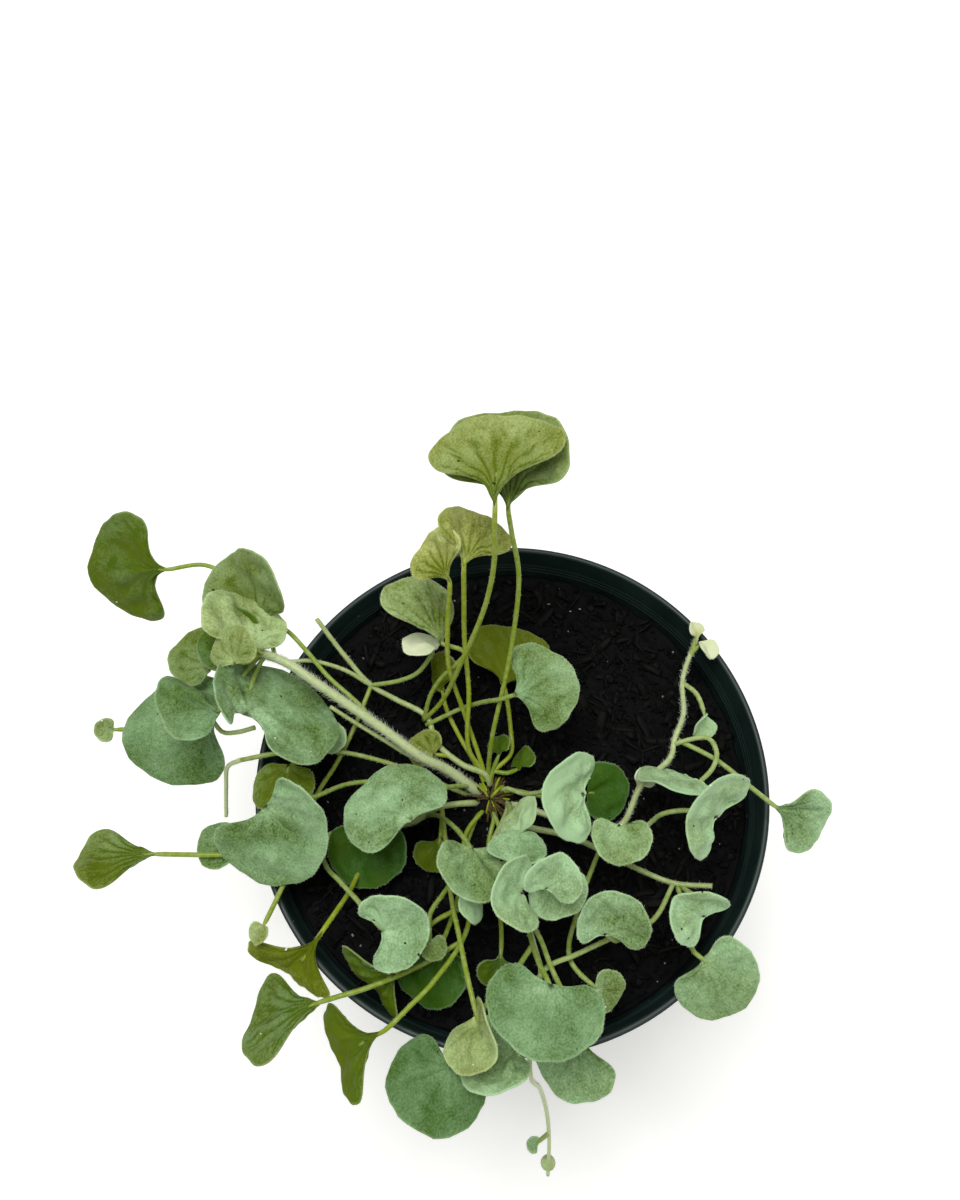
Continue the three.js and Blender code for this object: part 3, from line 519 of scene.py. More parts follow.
def blade_sheet(s, t, at, width, angles, form):
    """The middle of a blade at s, from -1 on the right lobe to 1 on the left, and t, 0 at the stalk to 1.

    In the direction far = s * lobes the margin lies at width (side + (length - side) cos far), times
    the cube root of 1 - s^6 for round lobes and 1 + skew sin far for a lopsided leaf. pinch gathers the
    directions near the stalk into a neck that reaches out to neck widths, so much that no direction
    starts out more than 88 degrees from the midrib. fold lifts both sides from the midrib, droop rolls
    them over a cylinder, and waves that grow toward the margin make each leaf a little different.
    """
    far = s * math.radians(form["lobes"])
    pinch = max(form["pinch"], 1 - 88 / form["lobes"])
    fold, droop = math.radians(form["fold"]), math.radians(form["droop"])
    phase = at[0] + 2 * at[1]
    crinkle = 1 + 0.016 * np.sin(5 * far + phase) + 0.01 * np.sin(11 * far + 2 * phase)
    crinkle = crinkle + 0.006 * np.sin(23 * far)
    margin = width * (SIDE_LENGTH + (form["length"] - SIDE_LENGTH) * np.cos(far))
    margin = margin * np.cbrt(1 - s ** 6) * (1 + form["skew"] * np.sin(far)) * crinkle
    r = t * margin
    phi = far * (1 - pinch * np.exp(-(r / (form["neck"] * width)) ** 2))
    a, b = r * np.cos(phi), r * np.sin(phi)
    soft = 0.08 * width
    rise = (np.hypot(b, soft) - soft) * math.sin(fold)
    b = b * math.cos(fold)
    if droop:
        bend = droop / (0.5 * width)
        rise = rise - (1 - np.cos(bend * b)) / bend
        b = np.sin(bend * b) / bend
    rise = rise + FUNNEL * (1 - np.exp(-r / (0.14 * width)))
    outer = (r / (0.5 * width)) ** 2
    ripple = np.sin(3.3 * far + phase) + 0.7 * np.sin(6.1 * far - 2 * phase)
    rise = rise + RIPPLE * width * outer * ripple
    along, across, out = leaf_axes(angles)
    place = np.array(at) + a[..., None] * along + b[..., None] * across + rise[..., None] * out
    return place, r, margin, far, np.stack([a, b], -1)


tip = blade_sheet(np.zeros(1), np.ones(1), (0, 0, 0), 20, (0, 0, 0), LEAF_FORM)[0][0]
print("tip of a level leaf of the common form, 20 mm wide:", np.round(tip, 1))

# %% [markdown]
# The veins spread from the stalk like fingers and fade before the margin. On the upper face they are
# shallow grooves with the blade swelling softly between them, and below they stand out. The shell is
# the middle surface moved half a thickness each way along its own normal. The thickness falls to
# nothing over the last third of a millimetre, as a quarter ellipse, so both faces meet in one round edge.
# The felt is densest round the stalk's end, except in a blade that narrows to a green funnel there.

# %% Blade: the shell
BLADE_THICKNESS = 0.5
EDGE = 0.35
VEINS = 7
VEIN_WIDTH = 0.6
VEIN_DEPTH = 0.22
SWELLS = ((0.5, 8, 7, 5), (0.26, 3.2, 9, 6))
HEART_FELT = 0.45
COLUMNS = 66
ROWS = 16


def vein_mask(r, far, margin, lobes, width):
    """1 on a vein and 0 away from it: exp(-(d / w)^2), d being the distance to the nearest of 7 rays.

    The rays curve outward a little, and w shrinks to a third at the margin. Side veins fork off midway.
    """
    reach = r / margin
    spread = math.radians(lobes) * 0.86
    bent = far + 0.05 * np.sin(9 * reach)
    step = 2 * spread / (VEINS - 1)
    off = (bent + spread) / step
    off = np.abs(off - np.clip(np.round(off), 0, VEINS - 1)) * step
    w = VEIN_WIDTH * (1 - 0.65 * reach) * min(1, width / 20)
    main = np.exp(-(off * r / w) ** 2)
    fork = np.abs(off - 0.5 * step * between(0.45, 1.1, reach)) * r
    side = np.exp(-(fork / (0.6 * w)) ** 2) * between(0.45, 0.6, reach) * 0.7
    return np.maximum(main, side) * (1 - between(0.82, 0.98, reach))


def blade(at, width, angles, form):
    """A closed thin blade with what its finish reads: face, rim, vein, silver, warm and a leaf map."""
    i = np.arange(1, COLUMNS)[:, None]
    s = np.sin((2 * i / COLUMNS - 1) * np.pi / 2)
    t = 1 - (1 - np.arange(ROWS + 1)[None] / ROWS) ** 2.1
    middle, r, margin, far, leaf_map = blade_sheet(s, t, at, width, angles, form)
    over_s = np.gradient(middle, axis=0)
    over_t = np.gradient(middle, axis=1)
    normal = np.cross(over_t, over_s)
    normal = normal / np.maximum(np.linalg.norm(normal, axis=-1, keepdims=True), 1e-9)
    normal[:, 0] = leaf_axes(angles)[2]
    reach = margin - r
    reach[[0, -1]] = 0
    near = np.clip(reach / EDGE, 0, 1)
    half = BLADE_THICKNESS / 2 * np.sqrt(1 - (1 - near) ** 2)
    small = min(1, width / 20)
    vein = vein_mask(r, far, margin, form["lobes"], width) * between(1, 5, r)
    relief = VEIN_DEPTH * (0.4 - vein) * between(0, 2, r) * between(0, 1.5, reach) * small
    x, y = leaf_map[..., 0] + 9 * at[0], leaf_map[..., 1] + 9 * at[1]
    swell = sum(height * waves(x, y, length, count, seed) for height, length, count, seed in SWELLS)
    centre = middle + normal * (relief + swell * between(0, 3, reach) * small)[..., None]
    upper = centre + normal * half[..., None]
    lower = centre - normal * half[..., None]
    neck = 1 - form["pinch"] * (1 - between(0.02, 0.5, r / width))
    heart = HEART_FELT * (1 - form["pinch"]) * np.exp(-(r / (0.16 * width)) ** 2)
    silver = form["silver"] * neck + heart * min(1, 3 * form["silver"])
    own_place = np.full(r.shape + (1,), 13.0 * at[0] + 7.0 * at[1])
    words = dict(rim=reach, vein=vein, silver=silver, warm=np.full(r.shape, float(form["warm"])),
                 leaf_map=np.concatenate([leaf_map, own_place], -1))
    return shell_of([(sheet, words | dict(face=np.full(r.shape, face)))
                     for sheet, face in ((upper, 1.0), (lower, -1.0))])


def shell_of(sides):
    """Two faces of one grid as a closed shell. They share the base, the two side columns and the margin."""
    columns, rows = sides[0][0].shape[:2]
    edge = np.zeros((columns, rows), bool)
    edge[[0, -1]] = True
    edge[:, -1] = True
    own = ~edge
    own[:, 0] = False
    top = np.zeros((columns, rows), int)
    top[:, 1:] = 1 + np.arange(columns * (rows - 1)).reshape(columns, -1)
    count = 1 + columns * (rows - 1)
    under = top.copy()
    under[own] = count + np.arange(own.sum())
    (a, words_a), (b, words_b) = sides

    def together(first, second):
        return np.concatenate([first[:1, 0], first[:, 1:].reshape((-1,) + first.shape[2:]), second[own]])

    faces = []
    for grid, flip in ((top, 1), (under, -1)):
        quads = np.stack([grid[:-1, 1:-1], grid[:-1, 2:], grid[1:, 2:], grid[1:, 1:-1]], -1).reshape(-1, 4)
        caps = np.stack([grid[:-1, 0], grid[:-1, 1], grid[1:, 1]], -1)
        faces += quads[:, ::flip].tolist() + caps[:, ::flip].tolist()
    return together(a, b), faces, {word: together(words_a[word], words_b[word]) for word in words_a}


points, faces, extra = blade((0, 0, 0), 20, (0, 0, 0), LEAF_FORM | dict(silver=0.5))
print("a leaf has", len(faces), "faces and carries", sorted(extra))

# %% [markdown]
# Stalks and runners are tubes along smooth routes. Each route is the short list of points that the
# packed stem also follows, joined by a centripetal Catmull-Rom curve, which never loops between close
# points. A stalk narrows and flattens where it runs on under its blade as the midrib.

# %% Stalk: a tube along a route
TUBE_SIDES = 10
TUBE_STEP = 1.2


def smooth_route(route):
    """Points and directions at even steps on the centripetal Catmull-Rom curve through the route.

    Between the points B and C the curve is the cubic with their places and with slopes that come from
    A, B, C and D and from the square roots of the gaps between them. The ends are mirrored.
    """
    p = np.array(route, float)
    p = np.concatenate([[2 * p[0] - p[1]], p, [2 * p[-1] - p[-2]]])
    gap = np.sqrt(np.linalg.norm(np.diff(p, axis=0), axis=1))[:, None]
    d = np.diff(p, axis=0)
    slope = (d[:-1] / gap[:-1] - (p[2:] - p[:-2]) / (gap[:-1] + gap[1:]) + d[1:] / gap[1:])
    m0, m1 = slope[:-1] * gap[1:-1], slope[1:] * gap[1:-1]
    u = np.linspace(0, 1, 25)[None, :, None]
    b, c = p[1:-2][:, None], p[2:-1][:, None]
    m0, m1 = m0[:, None], m1[:, None]
    curve = ((2 * u ** 3 - 3 * u ** 2 + 1) * b + (u ** 3 - 2 * u ** 2 + u) * m0
             + (3 * u ** 2 - 2 * u ** 3) * c + (u ** 3 - u ** 2) * m1)
    curve = np.concatenate([curve[:, :-1].reshape(-1, 3), p[-2:-1]])
    run = np.concatenate([[0], np.cumsum(np.linalg.norm(np.diff(curve, axis=0), axis=1))])
    length = run[-1]
    at = np.linspace(0, length, max(6, int(length / TUBE_STEP) + 1))
    points = np.stack([np.interp(at, run, curve[:, k]) for k in range(3)], -1)
    along = np.gradient(points, axis=0)
    return points, along / np.linalg.norm(along, axis=1, keepdims=True), at, length


def carried(across, along):
    """A side direction for each ring, carried back from the end without twisting."""
    side = np.array(across, float)
    result = []
    for direction in along[::-1]:
        side = side - direction * (side @ direction)
        side = side / np.linalg.norm(side)
        result.append(side)
    return np.array(result[::-1])


def tube(route, half_sizes, across, words, sides=TUBE_SIDES):
    """A closed tube. half_sizes(at, length) gives each ring's half width and half thickness in mm.

    The point at turn a on a ring is centre + width cos a * side + thickness sin a * up.
    """
    centre, along, at, length = smooth_route(route)
    side = carried(across, along)
    up = np.cross(along, side)
    width, thick = half_sizes(at, length)
    a = np.linspace(0, 2 * np.pi, sides, endpoint=False)
    ring = (centre[:, None] + (width[:, None] * np.cos(a))[..., None] * side[:, None]
            + (thick[:, None] * np.sin(a))[..., None] * up[:, None])
    points = np.concatenate([[centre[0]], ring.reshape(-1, 3), [centre[-1]]])
    extra = {word: np.full(len(points), float(value)) for word, value in words.items()}
    return points, capped(len(at), sides), extra


bent = smooth_route([(0, 0, 0), (10, 0, 0), (10, 10, 0)])
print("a route of two 10 mm legs, smoothed:", round(bent[3], 1), "mm long")

# %% [markdown]
# Silver ponyfoot is silver because of its hairs. On the blades they are too fine to see singly, so the
# finish shows them as felt. On the runners, stalks and leaf margins they stand out against the dark soil,
# so here each is a tiny three-sided spike that leans toward the tip, with its root just under the skin.
# They are drawn a few times thicker than real hairs, so that they show from above the pot.

# %% Hairs
HAIR_WIDTH = 0.07
FRINGE_WIDTH = 0.05


def hairs(roots, outward, lean, length, width):
    """Spikes of three corners round the root and one at the tip, root + length (outward + lean)."""
    way = outward + lean
    way = way / np.linalg.norm(way, axis=1, keepdims=True)
    helper = np.where(np.abs(way[:, 2:3]) < 0.9, [[0, 0, 1]], [[1, 0, 0]])
    u = np.cross(way, helper)
    u = u / np.linalg.norm(u, axis=1, keepdims=True)
    v = np.cross(way, u)
    a = np.arange(3) * 2 * np.pi / 3
    base = roots[:, None] + width / 2 * (np.cos(a)[:, None] * u[:, None] + np.sin(a)[:, None] * v[:, None])
    tip = (roots + way * np.broadcast_to(length, len(roots))[:, None])[:, None]
    points = np.concatenate([base, tip], 1).reshape(-1, 3)
    faces = np.array([(0, 1, 3), (1, 2, 3), (2, 0, 3), (0, 2, 1)])[None]
    faces = faces + 4 * np.arange(len(roots))[:, None, None]
    return points, faces.reshape(-1, 3).tolist(), {}


def coat(route, radius, per_mm, length, spread, seed):
    """Hairs all round a stalk or runner: random places on its skin, leaning toward its tip."""
    draw = np.random.default_rng(seed)
    centre, along, at, total = smooth_route(route)
    n = int(total * per_mm)
    place = draw.uniform(0, total, n)
    root = np.stack([np.interp(place, at, centre[:, k]) for k in range(3)], -1)
    way = np.stack([np.interp(place, at, along[:, k]) for k in range(3)], -1)
    any_way = draw.normal(size=(n, 3))
    outward = any_way - way * (any_way * way).sum(1, keepdims=True)
    outward = outward / np.linalg.norm(outward, axis=1, keepdims=True)
    size = length * draw.uniform(0.5, 1.2, n)
    lean = way * draw.uniform(0.3, 1.4, (n, 1)) + spread * draw.normal(size=(n, 3))
    return hairs(root + outward * radius * 0.9, outward, lean, size, HAIR_WIDTH)


def fringe(at, width, angles, form, per_mm, length, seed):
    """Hairs round a blade's margin that point outward, a little up or down."""
    draw = np.random.default_rng(seed)
    n = int(per_mm * 3 * width)
    s = draw.uniform(-0.97, 0.97, n)
    edge = blade_sheet(s, np.full(n, 0.995), at, width, angles, form)[0]
    inner = blade_sheet(s, np.full(n, 0.9), at, width, angles, form)[0]
    outward = edge - inner
    outward = outward / np.linalg.norm(outward, axis=1, keepdims=True)
    size = length * draw.uniform(0.5, 1.2, n)
    return hairs(edge, outward, 0.5 * draw.normal(size=(n, 3)), size, FRINGE_WIDTH)


sample = fringe((0, 0, 0), 20, (0, 0, 0), LEAF_FORM, per_mm=3.0, length=0.45, seed=1)
print("hairs round a leaf 20 mm wide:", len(sample[0]) // 4)

# %% [markdown]
# A leaf of this plant is a green blade under a white felt. How silver it looks depends on how thick the
# felt is, so each leaf carries a value silver, from 0 for a bare leaf to 1 for a white one and
# more for a dry one, and a value warm for the older, yellower blades. The finish mixes green and felt
# by them. Low silver is partly painted shade: leaves that lie low and shaded under the canopy are given
# silver 0 or near it, so their dark green stands in part for the shade on them. The felt lies in tufts,
# is a little rubbed here and there, thickens at the rim and thins over the veins, on older leaves most.
# On a leaf with little felt all of this is fainter. Felt gives a faint sheen and no gloss. Real tufts
# are a tenth of a millimetre, and are drawn five times as coarse so that they show from above the pot.

# %% Blade: where the felt lies
TUFT_MM = 0.5
RUBBED_MM = 1.5
CLOUD_OF_TONE_MM = 12

felted, tree = finish_named("felted_silver_leaf")
leaf_map = add(tree, "Attribute", attribute_name="leaf_map").outputs["Vector"]
words = ("silver", "warm", "vein", "rim", "face")
silver, warm, vein, rim, face = (
    add(tree, "Attribute", attribute_name=word).outputs["Fac"] for word in words)
tufts = add(tree, "TexNoise", {"Vector": leaf_map, "Scale": 1 / TUFT_MM, "Detail": 2.0, "Roughness": 0.6})
patches = add(tree, "TexNoise", {"Vector": leaf_map, "Scale": 1 / RUBBED_MM, "Detail": 3.0})
tone = add(tree, "TexNoise", {"Vector": leaf_map, "Scale": 1 / CLOUD_OF_TONE_MM, "Detail": 2.0})
thick = add(tree, "MapRange", {0: silver, 1: 0.0, 2: 0.6, 3: 0.25, 4: 1.0})
rim_line = add(tree, "MapRange", {0: rim, 1: 0.0, 2: 0.5, 3: 0.3, 4: 0.0})
below = add(tree, "MapRange", {0: face, 1: -1.0, 2: 1.0, 3: 0.15, 4: 0.0})
worn = add(tree, "MapRange", {0: warm, 1: 0.0, 2: 1.0, 3: -0.12, 4: -0.4})
cover = add(tree, "Math", {0: vein, 1: worn, 2: silver}, operation="MULTIPLY_ADD")
swings = ((tufts, 0.32, 0.68, 0.22), (patches, 0.35, 0.65, 0.09), (tone, 0.35, 0.65, 0.25))
for pattern, low, high, swing in swings:
    part = add(tree, "MapRange", {0: pattern, 1: low, 2: high, 3: -swing, 4: swing})
    cover = add(tree, "Math", {0: part, 1: thick, 2: cover}, operation="MULTIPLY_ADD")
for part in (rim_line, below):
    cover = add(tree, "Math", {0: cover, 1: part}, operation="ADD")
cover = add(tree, "Clamp", {0: cover})
print("felt made of", len(tree.nodes), "nodes so far")

# %% Blade: its colours
older = add(tree, "MapRange", {0: tone, 1: 0.35, 2: 0.65, 3: 0.16, 4: -0.12})
older = add(tree, "Math", {0: warm, 1: older}, operation="ADD", use_clamp=True)
bare = add(tree, "Mix", {0: older, 6: linear("#335a0c"), 7: linear("#5c6a00")}, data_type="RGBA")
felt = add(tree, "Mix", {0: older, 6: linear("#a9cb9b"), 7: linear("#bcc273")}, data_type="RGBA")
colour = add(tree, "Mix", {0: cover, 6: bare, 7: felt}, data_type="RGBA")
dry = add(tree, "Math", {0: silver, 1: 1.0}, operation="SUBTRACT", use_clamp=True)
colour = add(tree, "Mix", {0: dry, 6: colour, 7: linear("#e9ebd2")}, data_type="RGBA")
print("the dry white takes over above silver 1, after", len(tree.nodes), "nodes")

# %% Blade: specks of soil, pale specks painted as glints on water drops, and its sheen
SPECK_ON_LEAF_MM = 3
# Dark specks are soil lying on the blade. The pale specks are painted glints of light on small water drops.
SOIL_SPECKS_AND_WATER_GLINTS = ((0.1, "GREATER_THAN", 0.84, "#2a2a18"), (0.07, "LESS_THAN", 0.13, "#e4ecdc"))

specks = add(tree, "TexVoronoi", {"Vector": leaf_map, "Scale": 1 / SPECK_ON_LEAF_MM})
lot = add(tree, "SeparateColor", {0: specks.outputs["Color"]})
for reach, rule, share, code in SOIL_SPECKS_AND_WATER_GLINTS:
    inside = add(tree, "Math", {0: specks, 1: reach}, operation="LESS_THAN")
    drawn = add(tree, "Math", {0: lot, 1: share}, operation=rule)
    spot = add(tree, "Math", {0: inside, 1: drawn}, operation="MULTIPLY")
    colour = add(tree, "Mix", {0: spot, 6: colour, 7: linear(code)}, data_type="RGBA")
bump = add(tree, "Bump", {"Height": tufts, "Strength": 0.8, "Distance": 0.16 * MM})
skin = add(tree, "BsdfPrincipled", {
    "Base Color": colour, "Roughness": 0.62, "Specular IOR Level": 0.14, "Normal": bump,
    "Sheen Weight": 0.05, "Sheen Roughness": 0.4, "Sheen Tint": linear("#f4f7ea"),
    "Subsurface Weight": 0.1, "Subsurface Radius": (0.5, 1.0, 0.25), "Subsurface Scale": 0.6 * MM})
add(tree, "OutputMaterial", {"Surface": skin})
print("leaf finish:", len(tree.nodes), "nodes")

# %% [markdown]
# Stalks are fresh yellow-green and faintly streaked, paler under a silver leaf than under a green one.
# Runners are thicker and whitish with hairs. The hairs themselves are clear cellulose, which reads as
# white with a soft gloss.

# %% Stalk and hair: finishes
STREAK_MM = 1.2
HAIR_TONE_MM = 2.5

stalk_skin, tree = finish_named("fresh_green_stalk")
silver, warm = (add(tree, "Attribute", attribute_name=word).outputs["Fac"] for word in ("silver", "warm"))
place = add(tree, "TexCoord").outputs["Object"]
streak = add(tree, "TexNoise", {"Vector": place, "Scale": 1 / (STREAK_MM * MM), "Detail": 4.0})
fresh = add(tree, "Mix", {0: warm, 6: linear("#6b8a22"), 7: linear("#8a9a0c")}, data_type="RGBA")
pale = add(tree, "Mix", {0: warm, 6: linear("#b3c795"), 7: linear("#c3c78e")}, data_type="RGBA")
streaked = add(tree, "MapRange", {0: streak, 1: 0.3, 2: 0.7, 3: -0.22, 4: 0.22})
cover = add(tree, "Math", {0: silver, 1: streaked}, operation="ADD", use_clamp=True)
colour = add(tree, "Mix", {0: cover, 6: fresh, 7: pale}, data_type="RGBA")
bump = add(tree, "Bump", {"Height": streak, "Strength": 0.4, "Distance": 0.1 * MM})
skin = add(tree, "BsdfPrincipled", {
    "Base Color": colour, "Roughness": 0.42, "Specular IOR Level": 0.35, "Normal": bump,
    "Sheen Weight": 0.05,
    "Subsurface Weight": 0.12, "Subsurface Radius": (0.5, 1.0, 0.25), "Subsurface Scale": 0.8 * MM})
add(tree, "OutputMaterial", {"Surface": skin})

hair_skin, tree = finish_named("white_plant_hair")
place = add(tree, "TexCoord").outputs["Object"]
tint = add(tree, "TexNoise", {"Vector": place, "Scale": 1 / (HAIR_TONE_MM * MM)})
colour = add(tree, "ValToRGB", {0: tint}, [(0.3, "#d3dec8"), (0.7, "#f2f5ea")])
skin = add(tree, "BsdfPrincipled", {"Base Color": colour, "Roughness": 0.5})
add(tree, "OutputMaterial", {"Surface": skin})
print("stalk and hair finishes made")

# %% [markdown]
# Now the plant itself. Each call below is one piece of a leafy stem and has the points of the packed
# one: where the blade sits on its stalk, how wide it is, which way it points, its form, and the route
# of its stalk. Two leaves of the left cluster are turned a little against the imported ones, because
# they fit the photograph better so. A leafy stem becomes three pieces: blades, stalks and hairs.

# %% Building a leaf on its stalk
CROWN = (-5.5, -3.5)
CROWN_REACH = 12
CROWN_TOP = 108
ROOT_DEPTH = 2
ROOT_REACH = 0.45
STALK = 0.6
MIDRIB = (0.35, 0.12)
seeds = iter(range(1000, 2000))


def rooted(route):
    """A route that starts at the crown is led inward and down into the soil."""
    x, y, z = route[0]
    dx, dy = x - CROWN[0], y - CROWN[1]
    if z > CROWN_TOP or math.hypot(dx, dy) > CROWN_REACH:
        return route
    return [[CROWN[0] + ROOT_REACH * dx, CROWN[1] + ROOT_REACH * dy, SOIL_TOP - ROOT_DEPTH]] + route


def leaf(at, width, angles, form, route):
    """A blade on its stalk. The stalk runs on under the blade as its midrib and thins away there."""
    form = LEAF_FORM | form
    across, out = leaf_axes(angles)[1:]
    rib_end = (0.1 + 0.12 * form["pinch"]) * width
    rib = np.linspace(0.8, rib_end, 4) / (form["length"] * width)
    midrib = blade_sheet(np.zeros(4), rib, at, width, angles, form)[0] - 0.15 * out
    whole = rooted(route) + midrib.tolist()

    def half_sizes(run, length):
        whole_stalk = between(0, rib_end + 2, length - run)
        return [end + (STALK - end) * whole_stalk for end in MIDRIB]

    pale = 0.05 + 0.4 * min(1, form["silver"]) * (1 - form["warm"])
    stalk = tube(whole, half_sizes, across, dict(silver=pale, warm=max(0.35, form["warm"])))
    fuzz = [coat(whole, STALK, per_mm=2.5, length=0.5, spread=0.4, seed=next(seeds)),
            fringe(at, width, angles, form, per_mm=3.0, length=0.45, seed=next(seeds))]
    return [blade(at, width, angles, form)], [stalk], fuzz


print("stalks that start within", CROWN_REACH, "mm of", CROWN, "go down into the soil")


# %% Building a stem, a bud and a whole leafy stem
RUNNER = 0.85
THICK_RUNNER = 1.3
STEM_WARM = 0.4


def stem(thickness, tip, route, silver=0.6, hair=0.6, per_mm=5.0):
    """A stem or runner that thins from its first radius to its last."""
    def half_sizes(run, length):
        size = thickness + (tip - thickness) * run / length
        return size, size

    route = rooted(route)
    bare = tube(route, half_sizes, (0.3, 0, 1), dict(silver=silver, warm=STEM_WARM))
    return [], [bare], [coat(route, 0.5 * (thickness + tip), per_mm, hair, 0.4, next(seeds))]


def bud(at, radius):
    """A round bud: a short fat tube that swells like an egg along its length."""
    route = [(at[0], at[1], at[2] + k * radius) for k in (-1, 0, 1)]

    def half_sizes(run, length):
        size = radius * np.sqrt(np.clip(1 - (2 * run / length - 1) ** 2, 0.02, 1))
        return size, size

    return [], [tube(route, half_sizes, (1, 0, 0), dict(silver=0.7, warm=0.2), 14)], []


def joined(shapes):
    """Several shapes as one, with the later ones' corner numbers moved up."""
    starts = np.cumsum([0] + [len(s[0]) for s in shapes])
    faces = [[i + start for i in face] for start, s in zip(starts.tolist(), shapes) for face in s[1]]
    extra = {word: np.concatenate([s[2][word] for s in shapes]) for word in shapes[0][2]}
    return np.concatenate([s[0] for s in shapes]), faces, extra


def leafy_stem(node, parts):
    """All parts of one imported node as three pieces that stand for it."""
    blades, stalks, fuzz = ([shape for part in parts for shape in part[k]] for k in range(3))
    piece(node + "_blades", joined(blades), felted, node)
    piece(node + "_stalks", joined(stalks), stalk_skin, node)
    piece(node + "_hairs", joined(fuzz), hair_skin, node)


egg = bud((0, 0, 0), 2)[1][0]
print("a bud of 2 mm radius has", len(egg[1]), "faces")

# %% [markdown]
# The plant, stem by stem, from the back of the pot round to the front.

# %% The ten leafy stems
# Leaves that lie low and shaded under the canopy carry silver 0 or near it: their bare dark green is partly
# painted shade.
leafy_stem("stem_back", [
  stem(RUNNER, 0.6, [
    [-6.5, 2.5, 107], [-13, 5, 109], [-20, 11, 110], [-22, 17, 111],
    [-31, 22, 112], [-37, 25, 114], [-44, 32, 118], [-51, 40, 124],
  ]),
  leaf([-5, 43, 178], 44, [87, 0, -18],
       dict(lobes=72, length=0.54, fold=5, droop=4, pinch=0.88, silver=0.42, warm=0.75), [
    [-23, 16.4, 110.9], [-18, 19, 119], [-13, 24, 133], [-7, 32, 151], [-5, 37, 164], [-5, 41, 174],
  ]),
  leaf([-2, 47, 170], 34, [83, 15, -15],
       dict(lobes=83, length=0.7, fold=16, skew=0.06, pinch=0.75, silver=0.3, warm=0.6), [
    [-6, 3, 107], [-5, 10, 118], [-1, 25, 133], [1, 39, 152], [-1, 45, 164],
  ]),
  leaf([-12, 40, 156], 23, [78, -5, 18],
       dict(lobes=70, fold=14, pinch=0.63, silver=0.65, warm=1), [
    [-7, 3, 107], [-11, 8, 112], [-11, 20, 124], [-12, 30, 135], [-12, 36, 147],
  ]),
  leaf([-15, 38, 151.5], 20, [122, 5, -30],
       dict(lobes=75, length=0.62, fold=20, skew=-0.2, pinch=0.7, silver=0.6, warm=1), [
    [-7, 3, 107], [-12, 16, 116], [-16, 25, 129], [-16, 33, 141],
  ]),
  leaf([-18, 29.6, 132], 32, [105, 7, 39],
       dict(lobes=62, length=0.58, fold=-18, skew=0.24, pinch=0.36, neck=0.37, silver=0.45, warm=0.5), [
    [-23, 16.4, 110.9], [-21, 21, 118], [-18, 24, 123], [-14, 26, 128], [-12, 28, 131],
  ]),
  leaf([-19, 30, 128], 13, [161, -10, 44],
       dict(lobes=100, length=0.73, fold=-8, droop=6, silver=1.6, warm=0.4), [
    [-37, 25, 114], [-29, 25, 118], [-24, 26, 122],
  ]),
  leaf([-2, 25, 114], 26, [77, -6, 15],
       dict(lobes=90, length=0.69, pinch=0.5, silver=0, warm=1), [
    [-5, 3, 107], [0, 8, 108], [0, 14, 109], [-1, 22, 112],
  ]),
  leaf([0, 17, 130], 25, [21, -2, 8],
       dict(lobes=98, fold=-4, droop=4, pinch=0.55, silver=0.45, warm=0.15), [
    [-22.4, 15.1, 110.7], [-13, 18, 116], [-8, 18, 121], [-3, 17, 127],
  ]),
  leaf([-18, 23, 113], 15, [101, -4, -60],
       dict(lobes=85, length=0.73, fold=-18, skew=-0.14, pinch=0.6, silver=0.1, warm=1), [
    [-8, 3, 107], [-14, 13, 110], [-17, 19, 112],
  ]),
  leaf([-3, 7, 110], 8, [81, -5, -41],
       dict(lobes=98, length=0.71, pinch=0.6, silver=0, warm=0.35), [[-5, 3, 107]]),
  leaf([2, 3, 110], 9, [68, -5, -48],
       dict(lobes=92, length=0.73, fold=-12, droop=6, pinch=0.6, silver=0, warm=0.35), [
    [-6, 3.5, 107], [-1, 3, 107.5],
  ]),
  leaf([-20, 7, 110], 11, [138, -7, -16],
       dict(lobes=104, length=0.7, fold=5, silver=0.15, warm=1), [[-15, 7, 109]]),
  stem(STALK, 0.5, [[-37, 25, 114], [-44, 28, 118], [-52, 29.5, 120.5], [-58, 29, 121.5]]),
  leaf([-58.5, -36.5, 122], 6.5, [-109, -10, 33],
       dict(lobes=140, length=0.72, fold=8, silver=0.55, warm=0.6), [
    [-37, 25, 114], [-41, 14, 113], [-45, 5, 112], [-50, -5, 114], [-53, -16, 116.5],
    [-55, -25, 117.6], [-57, -31, 119],
  ]),
])

